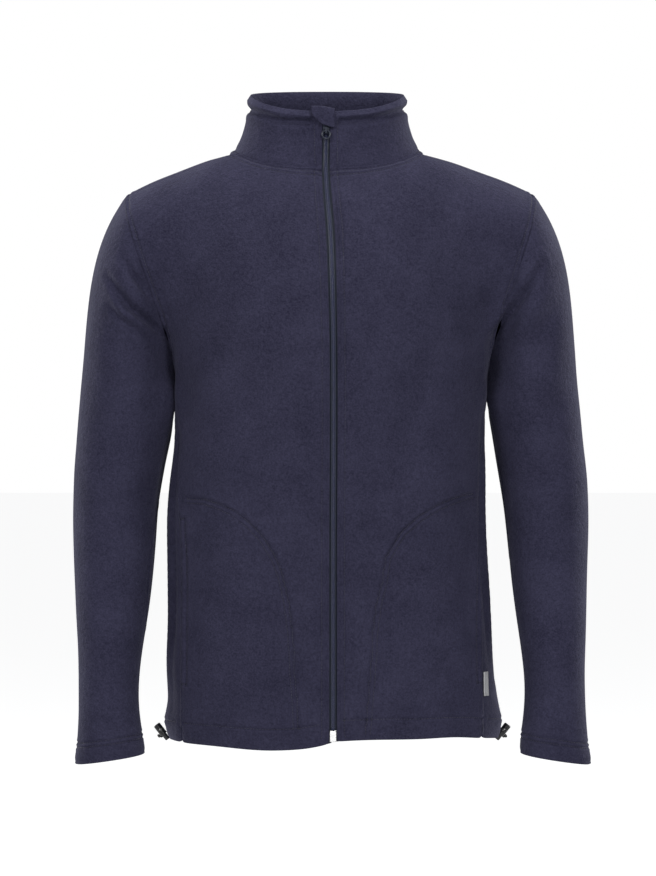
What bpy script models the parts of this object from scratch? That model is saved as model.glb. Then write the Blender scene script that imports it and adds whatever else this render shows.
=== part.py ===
"""Men's fleece zip jacket, filled out as it hangs when worn, cut and sewn piece by piece.

Metres, +Z up. The origin is the middle of the neck at shoulder height, where the wearer's
shoulders carry the jacket. The zip faces -Y, and +X is the wearer's left. Every cloth piece is a
thin shell: a grid of points on its outer face, and the same grid moved in by the cloth's thickness.
"""

import math

import bmesh
import bpy
import numpy as np
from mathutils import Matrix, Vector

# ---------------------------------------------------------------- driving sizes
FLEECE = 0.0024
SEAM_GAP = 0.0003
CHEST_LEVEL = -0.262
RING_POWER = 2.35
NECK_POWER = 2.5
SHOULDER_TIP = (0.2375, 0.0, -0.057)
ZIP_HALF_GAP = 0.0044
ZIP_FACING = 0.0120
EAR_Y, EAR_SPREAD = -0.008, 0.014
SEAM_SLANT = 0.37
NECK_COLUMNS, SHOULDER_COLUMNS, BACK_NECK_COLUMNS = 6, 7, 5
TAPE_DEPTH, TAPE_THICK = 0.0029, 0.0006


class Table:
    """Rows of sizes under named columns, read smoothly at any place along the first column."""

    def __init__(self, names, rows):
        self.names = names.split()
        self.rows = np.array(sorted(rows), float)

    def at(self, name, place):
        x, y = self.rows[:, 0], self.rows[:, self.names.index(name)]
        slope = np.gradient(y, x)
        place = np.clip(np.asarray(place, float), x[0], x[-1])
        i = np.clip(np.searchsorted(x, place) - 1, 0, len(x) - 2)
        step = x[i + 1] - x[i]
        t = (place - x[i]) / step
        return (
            (2 * t**3 - 3 * t**2 + 1) * y[i] + (t**3 - 2 * t**2 + t) * step * slope[i]
            + (3 * t**2 - 2 * t**3) * y[i + 1] + (t**3 - t**2) * step * slope[i + 1]
        )


# Half widths on the wearer's right and left, and how far front and back stand from the middle.
BODY = Table("height right left front back ear_right ear_left", [
    (-0.690, 0.187, 0.190, 0.112, 0.118, 0.004, 0.008),
    (-0.668, 0.191, 0.194, 0.113, 0.118, 0.006, 0.009),
    (-0.640, 0.189, 0.192, 0.113, 0.116, 0.001, 0.001),
    (-0.600, 0.193, 0.188, 0.113, 0.112, 0.0, 0.0),
    (-0.555, 0.189, 0.185, 0.113, 0.108, 0.0, 0.0),
    (-0.510, 0.189, 0.182, 0.114, 0.106, 0.0, 0.0),
    (-0.465, 0.189, 0.178, 0.116, 0.106, 0.0, 0.0),
    (-0.420, 0.190, 0.176, 0.119, 0.108, 0.0, 0.0),
    (-0.375, 0.186, 0.177, 0.123, 0.113, 0.0, 0.0),
    (-0.330, 0.181, 0.1765, 0.127, 0.118, 0.0, 0.0),
    (-0.295, 0.178, 0.1765, 0.130, 0.122, 0.0, 0.0),
    (-0.262, 0.178, 0.1775, 0.132, 0.126, 0.0, 0.0),
])
# The side seam leaves the edge of the body under the arm and settles straight below.
SIDE_SEAM = Table("height x", [
    (-0.690, 0.1725), (-0.375, 0.1725), (-0.330, 0.1735), (-0.295, 0.1755), (-0.262, 0.1775),
])
# The bottom edge lifts a little above its lowest row, more on the wearer's left.
HEM_LIFT = Table("x lift", [
    (-0.20, 0.0035), (-0.145, 0.003), (-0.06, 0.0), (-0.02, 0.004), (0.0, 0.0095),
    (0.04, 0.012), (0.10, 0.012), (0.14, 0.0125), (0.20, 0.004),
])
# Sideways wander of the zip.
SWAY = Table("height x", [
    (-0.690, 0.0027), (-0.500, 0.0027), (-0.142, 0.0012), (-0.104, -0.0002),
    (-0.062, -0.004), (-0.034, -0.0055), (0.0, -0.0052), (0.075, -0.0045),
])
# Forward shoulder seam, from the neck out to the tip.
SHOULDER_SEAM = Table("x y z", [
    (0.104, -0.035, -0.0105), (0.137, -0.022, -0.0175), (0.174, -0.008, -0.0305),
    (0.208, -0.003, -0.0425), SHOULDER_TIP,
])
# Collar rings by share of its height: half width, reach to front and back, heights.
COLLAR = Table("share half front back z_front z_side z_back", [
    (0.00, 0.109, 0.0850, 0.0760, -0.033, -0.003, 0.012),
    (0.18, 0.1015, 0.0810, 0.0735, -0.021, 0.010, 0.023),
    (0.42, 0.0967, 0.0785, 0.0715, -0.004, 0.026, 0.038),
    (0.72, 0.0930, 0.0758, 0.0694, 0.0155, 0.0428, 0.0543),
    (0.79, 0.0919, 0.0748, 0.0687, 0.020, 0.0475, 0.0585),
    (0.90, 0.0947, 0.0772, 0.0712, 0.0275, 0.0545, 0.066),
    (1.00, 0.0940, 0.0765, 0.0705, 0.0340, 0.0610, 0.0725),
])
# The collar's cut across: share of height and depth in from its outer face.
COLLAR_PROFILE = [
    (0.00, 0.0), (0.18, 0.0), (0.42, 0.0), (0.72, 0.0), (0.79, 0.0), (0.90, 0.0),
    (1.00, 0.0034), (0.90, 0.0068), (0.79, 0.0053), (0.72, 0.0059), (0.42, 0.0059), (0.18, 0.0059),
    (0.00, 0.0059), (0.00, 0.0037), (0.18, 0.0037), (0.42, 0.0037), (0.72, 0.0037),
    (0.72, 0.0022), (0.42, 0.0022), (0.18, 0.0022), (0.00, 0.0022),
]
# The faces that close the collar's cut end, as places in COLLAR_PROFILE.
COLLAR_END = [(0, 1, 19, 20), (1, 2, 18, 19), (2, 3, 17, 18), (3, 4, 8, 9, 16, 17), (4, 5, 7, 8),
              (5, 6, 7), (9, 10, 15, 16), (10, 11, 14, 15), (11, 12, 13, 14)]
# Sleeve rings below the arm: inner and outer edge by side, and reach to front and back.
SLEEVE = Table("height in_right out_right in_left out_left front back", [
    (-0.705, 0.2115, 0.2945, 0.2160, 0.3000, -0.0815, -0.006),
    (-0.683, 0.2150, 0.2915, 0.2175, 0.2960, -0.0805, -0.004),
    (-0.6815, 0.2152, 0.2913, 0.2177, 0.2958, -0.0804, -0.0038),
    (-0.655, 0.2195, 0.2895, 0.2215, 0.2935, -0.0790, 0.000),
    (-0.625, 0.2205, 0.2900, 0.2230, 0.2925, -0.0770, 0.006),
    (-0.590, 0.2175, 0.2905, 0.2200, 0.2930, -0.0745, 0.014),
    (-0.550, 0.2115, 0.2935, 0.2145, 0.2955, -0.0710, 0.026),
    (-0.500, 0.2060, 0.2970, 0.2090, 0.2970, -0.0640, 0.042),
    (-0.450, 0.2025, 0.2995, 0.2050, 0.3000, -0.0570, 0.057),
    (-0.410, 0.2010, 0.3005, 0.2005, 0.3010, -0.0540, 0.067),
    (-0.360, 0.1900, 0.2975, 0.1920, 0.2965, -0.0600, 0.071),
    (-0.310, 0.1805, 0.2935, 0.1820, 0.2905, -0.0660, 0.070),
])
# Curved edge of the pocket bag: how far in towards the zip it reaches at each height.
POCKET = Table("height reach", [
    (-0.6635, 0.038), (-0.600, 0.0425), (-0.560, 0.045), (-0.5235, 0.0495), (-0.495, 0.056),
    (-0.4715, 0.0625), (-0.454, 0.0725), (-0.439, 0.084), (-0.423, 0.1035), (-0.4125, 0.1225),
    (-0.4055, 0.142), (-0.4027, 0.158),
])
POCKET_ROWS = (-0.6635, -0.640, -0.610, -0.575, -0.530, -0.490, -0.458, -0.434, -0.417, -0.4065)

BODY_ROWS = (-0.690, -0.668, -0.6665, -0.640, -0.600, -0.555, -0.510, -0.465, -0.420, -0.375,
             -0.330, -0.295, CHEST_LEVEL)
UPPER_ROWS = (0.11, 0.22, 0.34, 0.46, 0.57, 0.68, 0.78, 0.87, 0.945, 1.0)
CAP_ROWS = (0.0, 0.12, 0.27, 0.44, 0.62, 0.81, 1.0)
SLEEVE_ROWS = (-0.360, -0.410, -0.450, -0.500, -0.550, -0.590, -0.625, -0.655, -0.6815,
               -0.683, -0.705)
HEM_ROW_COUNT = 2
BAG_GAP = 0.0012
# How strongly the fairing of chest and shoulders keeps to the first shape.
FRONT_HOLD, BACK_HOLD, NECK_HOLD = 0.25, 0.12, 30
TAPE_TOP = 0.9

NAVY = (0.034, 0.033, 0.060)
ZIP_NAVY = (0.012, 0.017, 0.034)
BLACK = (0.012, 0.012, 0.014)
NICKEL = (0.75, 0.75, 0.74)
LABEL_GREY = (0.20, 0.20, 0.21)


# ---------------------------------------------------------------- scene helpers
def clear_scene():
    for thing in list(bpy.data.objects):
        bpy.data.objects.remove(thing, do_unlink=True)


def material(name, colour, roughness, metallic=0.0):
    made = bpy.data.materials.new(name)
    made.use_nodes = True
    shader = made.node_tree.nodes["Principled BSDF"]
    shader.inputs["Base Color"].default_value = (*colour, 1.0)
    shader.inputs["Roughness"].default_value = roughness
    shader.inputs["Metallic"].default_value = metallic
    return made


def add_object(name, mesh, finish, collection):
    made = bpy.data.objects.new(name, mesh)
    made.data.materials.append(finish)
    collection.objects.link(made)
    return made


def mesh_of(name, points, faces):
    mesh = bpy.data.meshes.new(name)
    mesh.from_pydata([tuple(p) for p in points], [], faces)
    shape = bmesh.new()
    shape.from_mesh(mesh)
    bmesh.ops.recalc_face_normals(shape, faces=shape.faces)
    shape.to_mesh(mesh)
    shape.free()
    mesh.shade_smooth()
    mesh.set_sharp_from_angle(angle=math.radians(40))
    return mesh


# ---------------------------------------------------------------- curves of the body
def unit(v):
    return v / np.maximum(np.linalg.norm(v, axis=-1, keepdims=True), 1e-12)


def hermite(start, end, leave, arrive, t):
    """Points along a curve that leaves start along leave and reaches end along arrive."""
    t = np.asarray(t, float).reshape(-1, 1)
    return (
        (2 * t**3 - 3 * t**2 + 1) * start + (t**3 - 2 * t**2 + t) * leave
        + (3 * t**2 - 2 * t**3) * end + (t**3 - t**2) * arrive
    )


def resample(line, along):
    """Points of a polyline at the given distances along it; below 0 or 1 or less is a share."""
    length = np.concatenate([[0], np.cumsum(np.linalg.norm(np.diff(line, axis=0), axis=1))])
    return np.stack([np.interp(along, length, line[:, k]) for k in range(3)], axis=1), length[-1]


def oval(half, front, back, power, side, count=400):
    """Half of a ring from the middle of the front round one side to the middle of the back."""
    turn = np.linspace(-math.pi / 2, math.pi / 2, count)
    cos, sin = np.abs(np.cos(turn)), np.sin(turn)
    x = half * cos ** (2 / power)
    y = np.sign(sin) * np.where(sin < 0, front, back) * np.abs(sin) ** (2 / power)
    return side * x, y


def swayed(points):
    """Carry the middle of the body along with the zip's wander."""
    out = np.array(points, float)
    hold = np.clip(1 - (out[..., 0] / 0.24) ** 2, 0, 1)
    out[..., 0] += SWAY.at("x", out[..., 2]) * hold
    return out


def body_ring(height, side):
    """One side of the body's outline at a height, front middle to back middle, and its seam."""
    name = "left" if side > 0 else "right"
    x, y = oval(BODY.at(name, height), BODY.at("front", height), BODY.at("back", height),
                RING_POWER, side)
    x = x + side * BODY.at("ear_" + name, height) * np.exp(-(((y - EAR_Y) / EAR_SPREAD) ** 2))
    low = np.clip((-0.60 - height) / 0.09, 0, 1)
    lift = np.where(y < 0, HEM_LIFT.at("lift", x), HEM_LIFT.at("lift", side * 0.19) * np.abs(x) / 0.19)
    line = np.stack([x, y, height + low * lift], axis=1)
    front = y < 0
    seam = np.argmin(np.abs(np.abs(x) - SIDE_SEAM.at("x", height)) + 9 * ~front)
    furthest = SEAM_SLANT * (height - CHEST_LEVEL)
    if y[seam] < furthest:
        seam = int(np.argmin(np.abs(y - furthest)))
    return line, seam


def front_row(height, side):
    line, seam = body_ring(height, side)
    start = int(np.argmax(np.abs(line[:, 0]) >= ZIP_HALF_GAP))
    part = line[start:seam + 1].copy()
    part[0, 0] = side * ZIP_HALF_GAP
    total = resample(part, [0])[1]
    columns = NECK_COLUMNS + SHOULDER_COLUMNS
    along = np.concatenate([[0], np.linspace(ZIP_FACING, total, columns)])
    return resample(part, along)[0]


def back_half_row(height, side):
    line, seam = body_ring(height, side)
    part = line[seam:][::-1].copy()
    total = resample(part, [0])[1]
    return resample(part, np.linspace(0, total, BACK_NECK_COLUMNS + SHOULDER_COLUMNS + 1))[0]


def collar_ring(share, side):
    """Half of a collar ring, front middle to back middle."""
    front, back = COLLAR.at("front", share), COLLAR.at("back", share)
    x, y = oval(COLLAR.at("half", share), front, back, NECK_POWER, side)
    z_side = COLLAR.at("z_side", share)
    rise = (COLLAR.at("z_front", share) - z_side) * np.clip(-y / front, 0, 1) ** 1.6
    z = z_side + rise + (COLLAR.at("z_back", share) - z_side) * np.clip(y / back, 0, 1)
    return np.stack([x, y, z], axis=1)


def neck_columns(share, side):
    """Front and back columns of a collar ring; they meet where the shoulder seam ends."""
    line = collar_ring(share, side)
    start = int(np.argmax(np.abs(line[:, 0]) >= ZIP_HALF_GAP))
    split = int(np.argmin(np.abs(line[:, 1] / COLLAR.at("front", share) + 0.412)
                          + 9 * (line[:, 1] > 0)))
    front = line[start:split + 1].copy()
    front[0, 0] = side * ZIP_HALF_GAP
    total = resample(front, [0])[1]
    along = np.concatenate([[0], np.linspace(ZIP_FACING, total, NECK_COLUMNS)])
    back = line[split:][::-1]
    rest = resample(back, [0])[1]
    return resample(front, along)[0], resample(back, np.linspace(0, rest, BACK_NECK_COLUMNS + 1))[0]


def shoulder_points(side, neck_end):
    x = np.linspace(abs(neck_end[0]), SHOULDER_TIP[0], SHOULDER_COLUMNS + 1)[1:]
    y, z = SHOULDER_SEAM.at("y", x), SHOULDER_SEAM.at("z", x)
    return np.stack([side * x, y, z], axis=1)


def neck_arrival(place, share, arrival):
    """How a column comes in to the neckline: towards the neck, and more along it near the seam."""
    radial = unit(np.array((place[0], place[1], 0.0)))
    (in_middle, up_middle), (in_seam, up_seam), along = arrival
    inward = in_middle + (in_seam - in_middle) * share
    up = up_middle + (up_seam - up_middle) * share
    return np.array((-radial[0] * inward, -radial[1] * inward + along * share**2, up))


def upper_rows(bottom, below, top, side, leave_side, arrival, tip_arrival, neck_count):
    """Rows from the chest up to the neckline and shoulder seam, one smooth curve a column."""
    rise = unit(bottom - below) * 0.25
    count = len(bottom)
    columns = []
    for i in range(count):
        share = i / (count - 1)
        w = np.clip((share - 0.55) / 0.45, 0, 1)
        w = w * w * (3 - 2 * w)
        leave = rise[i] * (1 - w) + w * np.array(leave_side) * (side, 1, 1)
        arrive = neck_arrival(top[min(i, neck_count)], min(i / neck_count, 1.0), arrival)
        past = max(i - neck_count, 0) / (count - 1 - neck_count)
        past = min(1.0, 2.5 * past)
        arrive = arrive * (1 - past) + np.array(tip_arrival) * past
        columns.append(hermite(bottom[i], top[i], leave, arrive, UPPER_ROWS))
    return np.stack(columns, axis=1)


# Arrival at the neckline: (towards the neck, up) in the middle and at the seam, and along it.
FRONT_ARRIVAL, FRONT_TIP = ((0.09, 0.17), (0.16, 0.07), 0.15), (0, 0.33, 0.086)
BACK_ARRIVAL, BACK_TIP = ((0.10, 0.20), (0.17, 0.03), -0.30), (0, -0.40, -0.10)
FRONT_SIDE, BACK_SIDE = (0.072, -0.28, 0.276), (0.085, 0.32, 0.276)


def faired(grid, hold):
    """Spread the bending above the chest evenly, within reach of the first shape; edges stay."""
    first = len(BODY_ROWS)
    rows, columns = grid.shape[:2]
    free = np.full((rows, columns), -1)
    free[first:-1, 1:-1] = np.arange((rows - 1 - first) * (columns - 2)).reshape(-1, columns - 2)
    lines = [[(r - 1, c), (r, c), (r + 1, c)] for r in range(first - 1, rows - 1)
             for c in range(1, columns - 1)]
    lines += [[(r, c - 1), (r, c), (r, c + 1)] for r in range(first, rows - 1)
              for c in range(1, columns - 1)]
    spots = [tuple(spot) for spot in np.argwhere(free >= 0)]
    count = len(lines) + len(spots)
    bend, known = np.zeros((count, len(spots))), np.zeros((count, 3))
    for i, line in enumerate(lines):
        for spot, share in zip(line, (1, -2, 1)):
            if free[spot] >= 0:
                bend[i, free[spot]] += share
            else:
                known[i] -= share * grid[spot]
    for i, spot in enumerate(spots, len(lines)):
        keep = hold * (1 + NECK_HOLD * ((spot[0] - first + 1) / (rows - first)) ** 4)
        bend[i, free[spot]] = keep
        known[i] = keep * grid[spot]
    settled = np.linalg.lstsq(bend, known, rcond=None)[0]
    out = grid.copy()
    out[first:-1, 1:-1] = settled.reshape(-1, columns - 2, 3)
    return out


def front_grid(side):
    lower = np.stack([front_row(h, side) for h in BODY_ROWS])
    neck = neck_columns(0.0, side)[0]
    top = np.concatenate([neck, shoulder_points(side, neck[-1])])
    upper = upper_rows(lower[-1], lower[-2], top, side, FRONT_SIDE, FRONT_ARRIVAL,
                       FRONT_TIP, NECK_COLUMNS)
    return swayed(faired(np.concatenate([lower, upper]), FRONT_HOLD))


def back_half_grid(side):
    lower = np.stack([back_half_row(h, side) for h in BODY_ROWS])
    neck = neck_columns(0.0, side)[1]
    top = np.concatenate([neck, shoulder_points(side, neck[-1])])
    upper = upper_rows(lower[-1], lower[-2], top, side, BACK_SIDE, BACK_ARRIVAL,
                       BACK_TIP, BACK_NECK_COLUMNS)
    return swayed(np.concatenate([lower, upper]))


def sleeve_ring(height, side, count):
    """A ring of the sleeve, from its inner edge round the front to the outer edge and back."""
    name = "left" if side > 0 else "right"
    inner, outer = SLEEVE.at("in_" + name, height), SLEEVE.at("out_" + name, height)
    front, back = SLEEVE.at("front", height), SLEEVE.at("back", height)
    turn = np.arange(count) * 2 * math.pi / count
    cos, sin = np.cos(turn), np.sin(turn)
    e = 2 / 2.15
    x = (inner + outer) / 2 - (outer - inner) / 2 * np.sign(cos) * np.abs(cos) ** e
    y = (front + back) / 2 - (back - front) / 2 * np.sign(sin) * np.abs(sin) ** e
    slant = np.clip((-0.55 - height) / 0.15, 0, 1) * 0.14
    z = height - slant * (x - (inner + outer) / 2)
    return np.stack([side * x, y, z], axis=1)


def sleeve_grid(side, armhole):
    """Rows of the sleeve from the armhole loop to the cuff."""
    count = len(armhole)
    first = sleeve_ring(-0.310, side, count)
    low, high = armhole[:, 2].min(), armhole[:, 2].max()
    lines = []
    for k in range(count):
        h = (armhole[k, 2] - low) / (high - low)
        outer = (1 - math.cos(2 * math.pi * k / count)) / 2
        round_out = -0.04 * math.sin(2 * math.pi * k / count)
        leave = (1 - h) * np.array((0.012, 0, -0.03)) + h * np.array((0.165, 0, -0.20))
        leave[1] += round_out
        arrive = (1 - outer) * np.array((0.010, 0, -0.06)) + outer * np.array((0.04, 0, -0.30))
        mirror = np.array((side, 1, 1))
        lines.append(hermite(armhole[k], first[k], leave * mirror, arrive * mirror, CAP_ROWS))
    cap = np.stack(lines, axis=1)
    return np.concatenate([cap, [sleeve_ring(h, side, count) for h in SLEEVE_ROWS]])


# ---------------------------------------------------------------- cloth shells
class Cloth:
    """A grid of points on a piece's outer face with its thickness; a ring grid closes on itself."""

    def __init__(self, name, grid, thick, ring=False):
        self.name, self.grid, self.ring = name, np.array(grid, float), ring
        self.thick = np.broadcast_to(thick, self.grid.shape[:2]).astype(float).copy()
        self.normal = self.own_normals()
        self.shift = np.zeros_like(self.grid)
        self.inward = self.inward_directions()

    def steps(self, axis):
        g = self.grid
        if axis == 1 and self.ring:
            return np.roll(g, -1, axis=1) - np.roll(g, 1, axis=1)
        return np.gradient(g, axis=axis)

    def own_normals(self):
        n = unit(np.cross(self.steps(1), self.steps(0)))
        middle = np.array(self.grid.mean(axis=(0, 1)))
        if self.ring:
            middle = self.grid.mean(axis=1, keepdims=True)
            facing = np.sum(n * (self.grid - middle))
        else:
            away = self.grid - np.array((0, 0, middle[2]))
            facing = np.sum(n[..., :2] * away[..., :2])
        return n if facing > 0 else -n

    def inward_directions(self):
        g, out = self.grid, np.zeros_like(self.grid)
        out[0] += unit(g[1] - g[0])
        out[-1] += unit(g[-2] - g[-1])
        if not self.ring:
            out[:, 0] += unit(g[:, 1] - g[:, 0])
            out[:, -1] += unit(g[:, -2] - g[:, -1])
        return out

    def faces(self):
        rows, columns = self.grid.shape[:2]
        n, last = rows * columns, columns if self.ring else columns - 1
        made = []
        for r in range(rows - 1):
            for c in range(last):
                d = (c + 1) % columns
                a, b = r * columns + c, r * columns + d
                e, f = (r + 1) * columns + d, (r + 1) * columns + c
                made += [(a, b, e, f), (n + f, n + e, n + b, n + a)]
        for c in range(last):
            d = (c + 1) % columns
            top = (rows - 1) * columns
            made += [(d, c, n + c, n + d), (top + c, top + d, n + top + d, n + top + c)]
        if not self.ring:
            for r in range(rows - 1):
                a, b = r * columns, (r + 1) * columns
                made += [(a, b, n + b, n + a)]
                a, b = a + columns - 1, b + columns - 1
                made += [(b, a, n + a, n + b)]
        return made

    def outer(self):
        return self.grid + self.shift

    def inner(self):
        return self.outer() - self.normal * self.thick[..., None]

    def build(self, finish, collection):
        points = np.concatenate([self.outer().reshape(-1, 3), self.inner().reshape(-1, 3)])
        return add_object(self.name, mesh_of(self.name, points, self.faces()), finish, collection)


def settle_seams(pieces):
    """Pull sewn edges apart by the seam gap, and share one inward direction where they bend out."""
    seen = {}
    for piece in pieces:
        rows, columns = piece.grid.shape[:2]
        for r in range(rows):
            for c in range(columns):
                if np.linalg.norm(piece.inward[r, c]) > 0:
                    seen.setdefault(tuple(np.round(piece.grid[r, c], 6)), []).append((piece, r, c))
    for spots in seen.values():
        if len(spots) < 2:
            continue
        normals = [p.normal[r, c].copy() for p, r, c in spots]
        inwards = [p.inward[r, c] for p, r, c in spots]
        mean = unit(np.sum(normals, axis=0))
        convex = np.dot(np.sum(inwards, axis=0), mean) < 0.15
        for k, (piece, r, c) in enumerate(spots):
            near = [n for n in normals if np.dot(n, normals[k]) > 0.6]
            own = mean if convex else unit(np.sum(near, axis=0))
            piece.normal[r, c] = own
            piece.shift[r, c] = SEAM_GAP * 0.55 * unit(inwards[k])
            if not convex:
                piece.shift[r, c] -= SEAM_GAP * 0.55 * own


def collar_points(side):
    """Outer points by share of height for every column from the front round to the back."""
    rows = {}
    for share in sorted({share for share, _ in COLLAR_PROFILE}):
        front, back = neck_columns(share, side)
        rows[share] = swayed(np.concatenate([front, back[::-1][1:]]))
    return rows


def build_collar(finish, collection, neckline_pieces):
    """One folded strip: outer wall, rolled fold and inner wall, round the neck from zip to zip."""
    left, right = collar_points(1), collar_points(-1)
    shares = sorted(left)
    grid = np.stack([np.concatenate([left[s], right[s][::-1][1:]]) for s in shares])
    face = Cloth("collar", grid, FLEECE)
    base = Cloth("collar_base", grid[:2], FLEECE)
    settle_seams([*neckline_pieces, base])
    points = []
    for share, depth in COLLAR_PROFILE:
        row = shares.index(share)
        place = face.grid[row] - face.normal[row] * depth
        if share == 0.0:
            place = place + base.shift[0]
        points.append(place)
    points = np.stack(points)
    across, along = points.shape[:2]
    faces = []
    for r in range(across):
        s = (r + 1) % across
        for c in range(along - 1):
            faces.append((r * along + c, r * along + c + 1, s * along + c + 1, s * along + c))
    for c in (0, along - 1):
        ring = [r * along + c for r in range(across)]
        faces += [tuple(ring[i] for i in cap) for cap in COLLAR_END]
    mesh = mesh_of("collar", points.reshape(-1, 3), faces)
    add_object("collar", mesh, finish, collection)
    return face, shares


def pocket_bag(front, side, name, finish, collection):
    """A single layer against the inside of the front, from the side seam to its curved edge."""
    inner, normal, heights = front.inner(), front.normal, np.array(BODY_ROWS)
    rows = []
    for height in POCKET_ROWS:
        i = int(np.clip(np.searchsorted(heights, height) - 1, 2, len(heights) - 2))
        t = (height - heights[i]) / (heights[i + 1] - heights[i])
        line = inner[i] * (1 - t) + inner[i + 1] * t
        lean = unit(normal[i] * (1 - t) + normal[i + 1] * t)
        line = line - lean * BAG_GAP
        length = np.concatenate([[0], np.cumsum(np.linalg.norm(np.diff(line, axis=0), axis=1))])
        start = np.interp(POCKET.at("reach", height), np.abs(line[:, 0]), length)
        along = np.linspace(start, length[-1] - 0.0015, 8)
        rows.append(resample(line, along)[0])
    bag = Cloth(name, np.stack(rows), 0.0016)
    bag.build(finish, collection)
    return bag


# ---------------------------------------------------------------- zip
def zip_stations(front, collar, shares, side):
    """Point on the panel edge, direction away from the zip and normal, from hem to collar fold."""
    column, toward = (0, 1) if side > 0 else (-1, -2)
    grid, normal = collar.grid, collar.normal
    walls = [i for i, share in enumerate(shares) if 0 < share <= 0.72]
    edge = np.array([*front.grid[:, 0], *grid[walls, column]])
    beyond = np.array([*front.grid[:, 1], *grid[walls, toward]])
    facing = np.array([*front.normal[:, 0], *normal[walls, column]])
    seam = len(front.grid) - 1
    facing[seam] = unit(front.normal[seam, 0] + normal[0, column])
    for rows in (edge, beyond):
        rows[-1] = rows[-2] + (rows[-1] - rows[-2]) * TAPE_TOP
    return edge, unit(beyond - edge), facing


def zip_tape(name, stations, finish, collection):
    edge, out, facing = stations
    grid = []
    for p, e, n in zip(edge, out, facing):
        inner = -0.0038 if p[2] < SLIDER_Z else -0.0027
        grid.append([p + e * d - n * TAPE_DEPTH for d in (inner, 0.0, 0.0108)])
    Cloth(name, np.array(grid), TAPE_THICK).build(finish, collection)


SLIDER_Z = 0.0128
CHAIN_BOTTOM = -0.6660
CHAIN_HALF = 0.0028
PULL_AXIS_DEPTH = -0.00235
PULL_RING, PULL_WIRE = 0.0046, 0.00105


def zip_middle(left, right):
    """The zip's middle line and its outward direction, from the two panel edges."""
    return (left[0] + right[0]) / 2, unit(left[2] + right[2])


def at_height(line, facing, height):
    point = np.array([np.interp(height, line[:, 2], line[:, k]) for k in range(3)])
    normal = unit(np.array([np.interp(height, line[:, 2], facing[:, k]) for k in range(3)]))
    return point, normal


def zip_chain(line, facing, finish, collection):
    """The closed coils as one strip that runs on the tapes between the panels' edges."""
    heights = [h for h in line[:, 2] if CHAIN_BOTTOM + 0.004 < h < SLIDER_Z - 0.008]
    points = []
    for height in [CHAIN_BOTTOM, *heights, SLIDER_Z - 0.0045]:
        p, n = at_height(line, facing, height)
        for x, depth in ((-1, 0.0023), (1, 0.0023), (1, 0.0012), (0.6, 0.0007), (-0.6, 0.0007),
                         (-1, 0.0012)):
            points.append(p + np.array((x * CHAIN_HALF, 0, 0)) - n * depth)
    count, sides = len(points) // 6, 6
    faces = [tuple(range(sides)), tuple(range((count - 1) * sides, count * sides))[::-1]]
    for r in range(count - 1):
        for k in range(sides):
            m = (k + 1) % sides
            faces.append((r * sides + k, r * sides + m, (r + 1) * sides + m, (r + 1) * sides + k))
    add_object("zip_chain", mesh_of("zip_chain", points, faces), finish, collection)


def box_mesh(name, size, centre, bevel):
    """A bevelled block, its size and centre along the frame's own axes."""
    shape = bmesh.new()
    bmesh.ops.create_cube(shape, size=1.0)
    bmesh.ops.scale(shape, vec=Vector(size), verts=shape.verts)
    bmesh.ops.translate(shape, vec=Vector(centre), verts=shape.verts)
    if bevel:
        bmesh.ops.bevel(shape, geom=list(shape.edges), offset=bevel, segments=1, affect="EDGES",
                        clamp_overlap=True)
    mesh = bpy.data.meshes.new(name)
    shape.to_mesh(mesh)
    shape.free()
    return mesh


def frame_at(point, normal):
    """Axes of the zip at a place: X across, Y into the jacket, Z up along the zip."""
    into = Vector(-normal).normalized()
    across = Vector((1, 0, 0))
    up = across.cross(into).normalized()
    across = into.cross(up).normalized()
    turn = Matrix((across, into, up)).transposed().to_4x4()
    turn.translation = Vector(point)
    return turn


def joined(name, blocks, place, finish, collection, cutters):
    """Blocks united into one solid by Boolean unions, placed in the zip's frame."""
    body = add_object(name, blocks[0], finish, collection)
    body.matrix_world = place
    for k, block in enumerate(blocks[1:]):
        tool = add_object(f"{name}_part_{k}", block, finish, cutters)
        tool.matrix_world = place
        tool.hide_render = True
        tool.display_type = "WIRE"
        union = body.modifiers.new(f"join_{k}", "BOOLEAN")
        union.operation = "UNION"
        union.object = tool
    return body


def zip_slider(line, facing, finish, collection, cutters):
    """Slider with its front plate, post, rear plate and the arch that carries the pull."""
    p, n = at_height(line, facing, SLIDER_Z)
    place = frame_at(p, n)
    blocks = [
        box_mesh("plate", (0.0076, 0.0012, 0.0110), (0, -0.0004, 0), 0.0003),
        box_mesh("post", (0.0018, 0.0052, 0.0040), (0, 0.0021, 0.0030), 0),
        box_mesh("arch_top", (0.0018, 0.00105, 0.0068), (0, -0.004225, -0.0024), 0),
        box_mesh("arch_low", (0.0018, 0.0040, 0.0013), (0, -0.0027, -0.00515), 0),
        box_mesh("arch_high", (0.0018, 0.0040, 0.0013), (0, -0.0027, 0.00035), 0),
    ]
    joined("zip_slider", blocks, place, finish, collection, cutters)
    return place


def zip_pull(place, finish, collection):
    """Plain ring through the slider's arch; its origin is on the hinge axis."""
    hinge = place @ Matrix.Translation((0, PULL_AXIS_DEPTH, -0.0024))
    bpy.ops.mesh.primitive_torus_add(major_radius=PULL_RING, minor_radius=PULL_WIRE,
                                     major_segments=24, minor_segments=8)
    ring = bpy.context.object
    ring.name = "zip_pull"
    for old in list(ring.users_collection):
        old.objects.unlink(ring)
    collection.objects.link(ring)
    ring.data.transform(Matrix.Rotation(math.pi / 2, 4, "X"))
    ring.data.transform(Matrix.Translation((0, 0, -PULL_RING)))
    ring.data.materials.append(finish)
    ring.data.shade_smooth()
    ring.matrix_world = hinge


def zip_box(line, facing, finish, collection):
    p, n = at_height(line, facing, CHAIN_BOTTOM - 0.0072)
    made = add_object("zip_box", box_mesh("zip_box", (0.0076, 0.0028, 0.0128), (0, 0.0009, 0), 0.0005),
                      finish, collection)
    made.matrix_world = frame_at(p, n)


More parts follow.
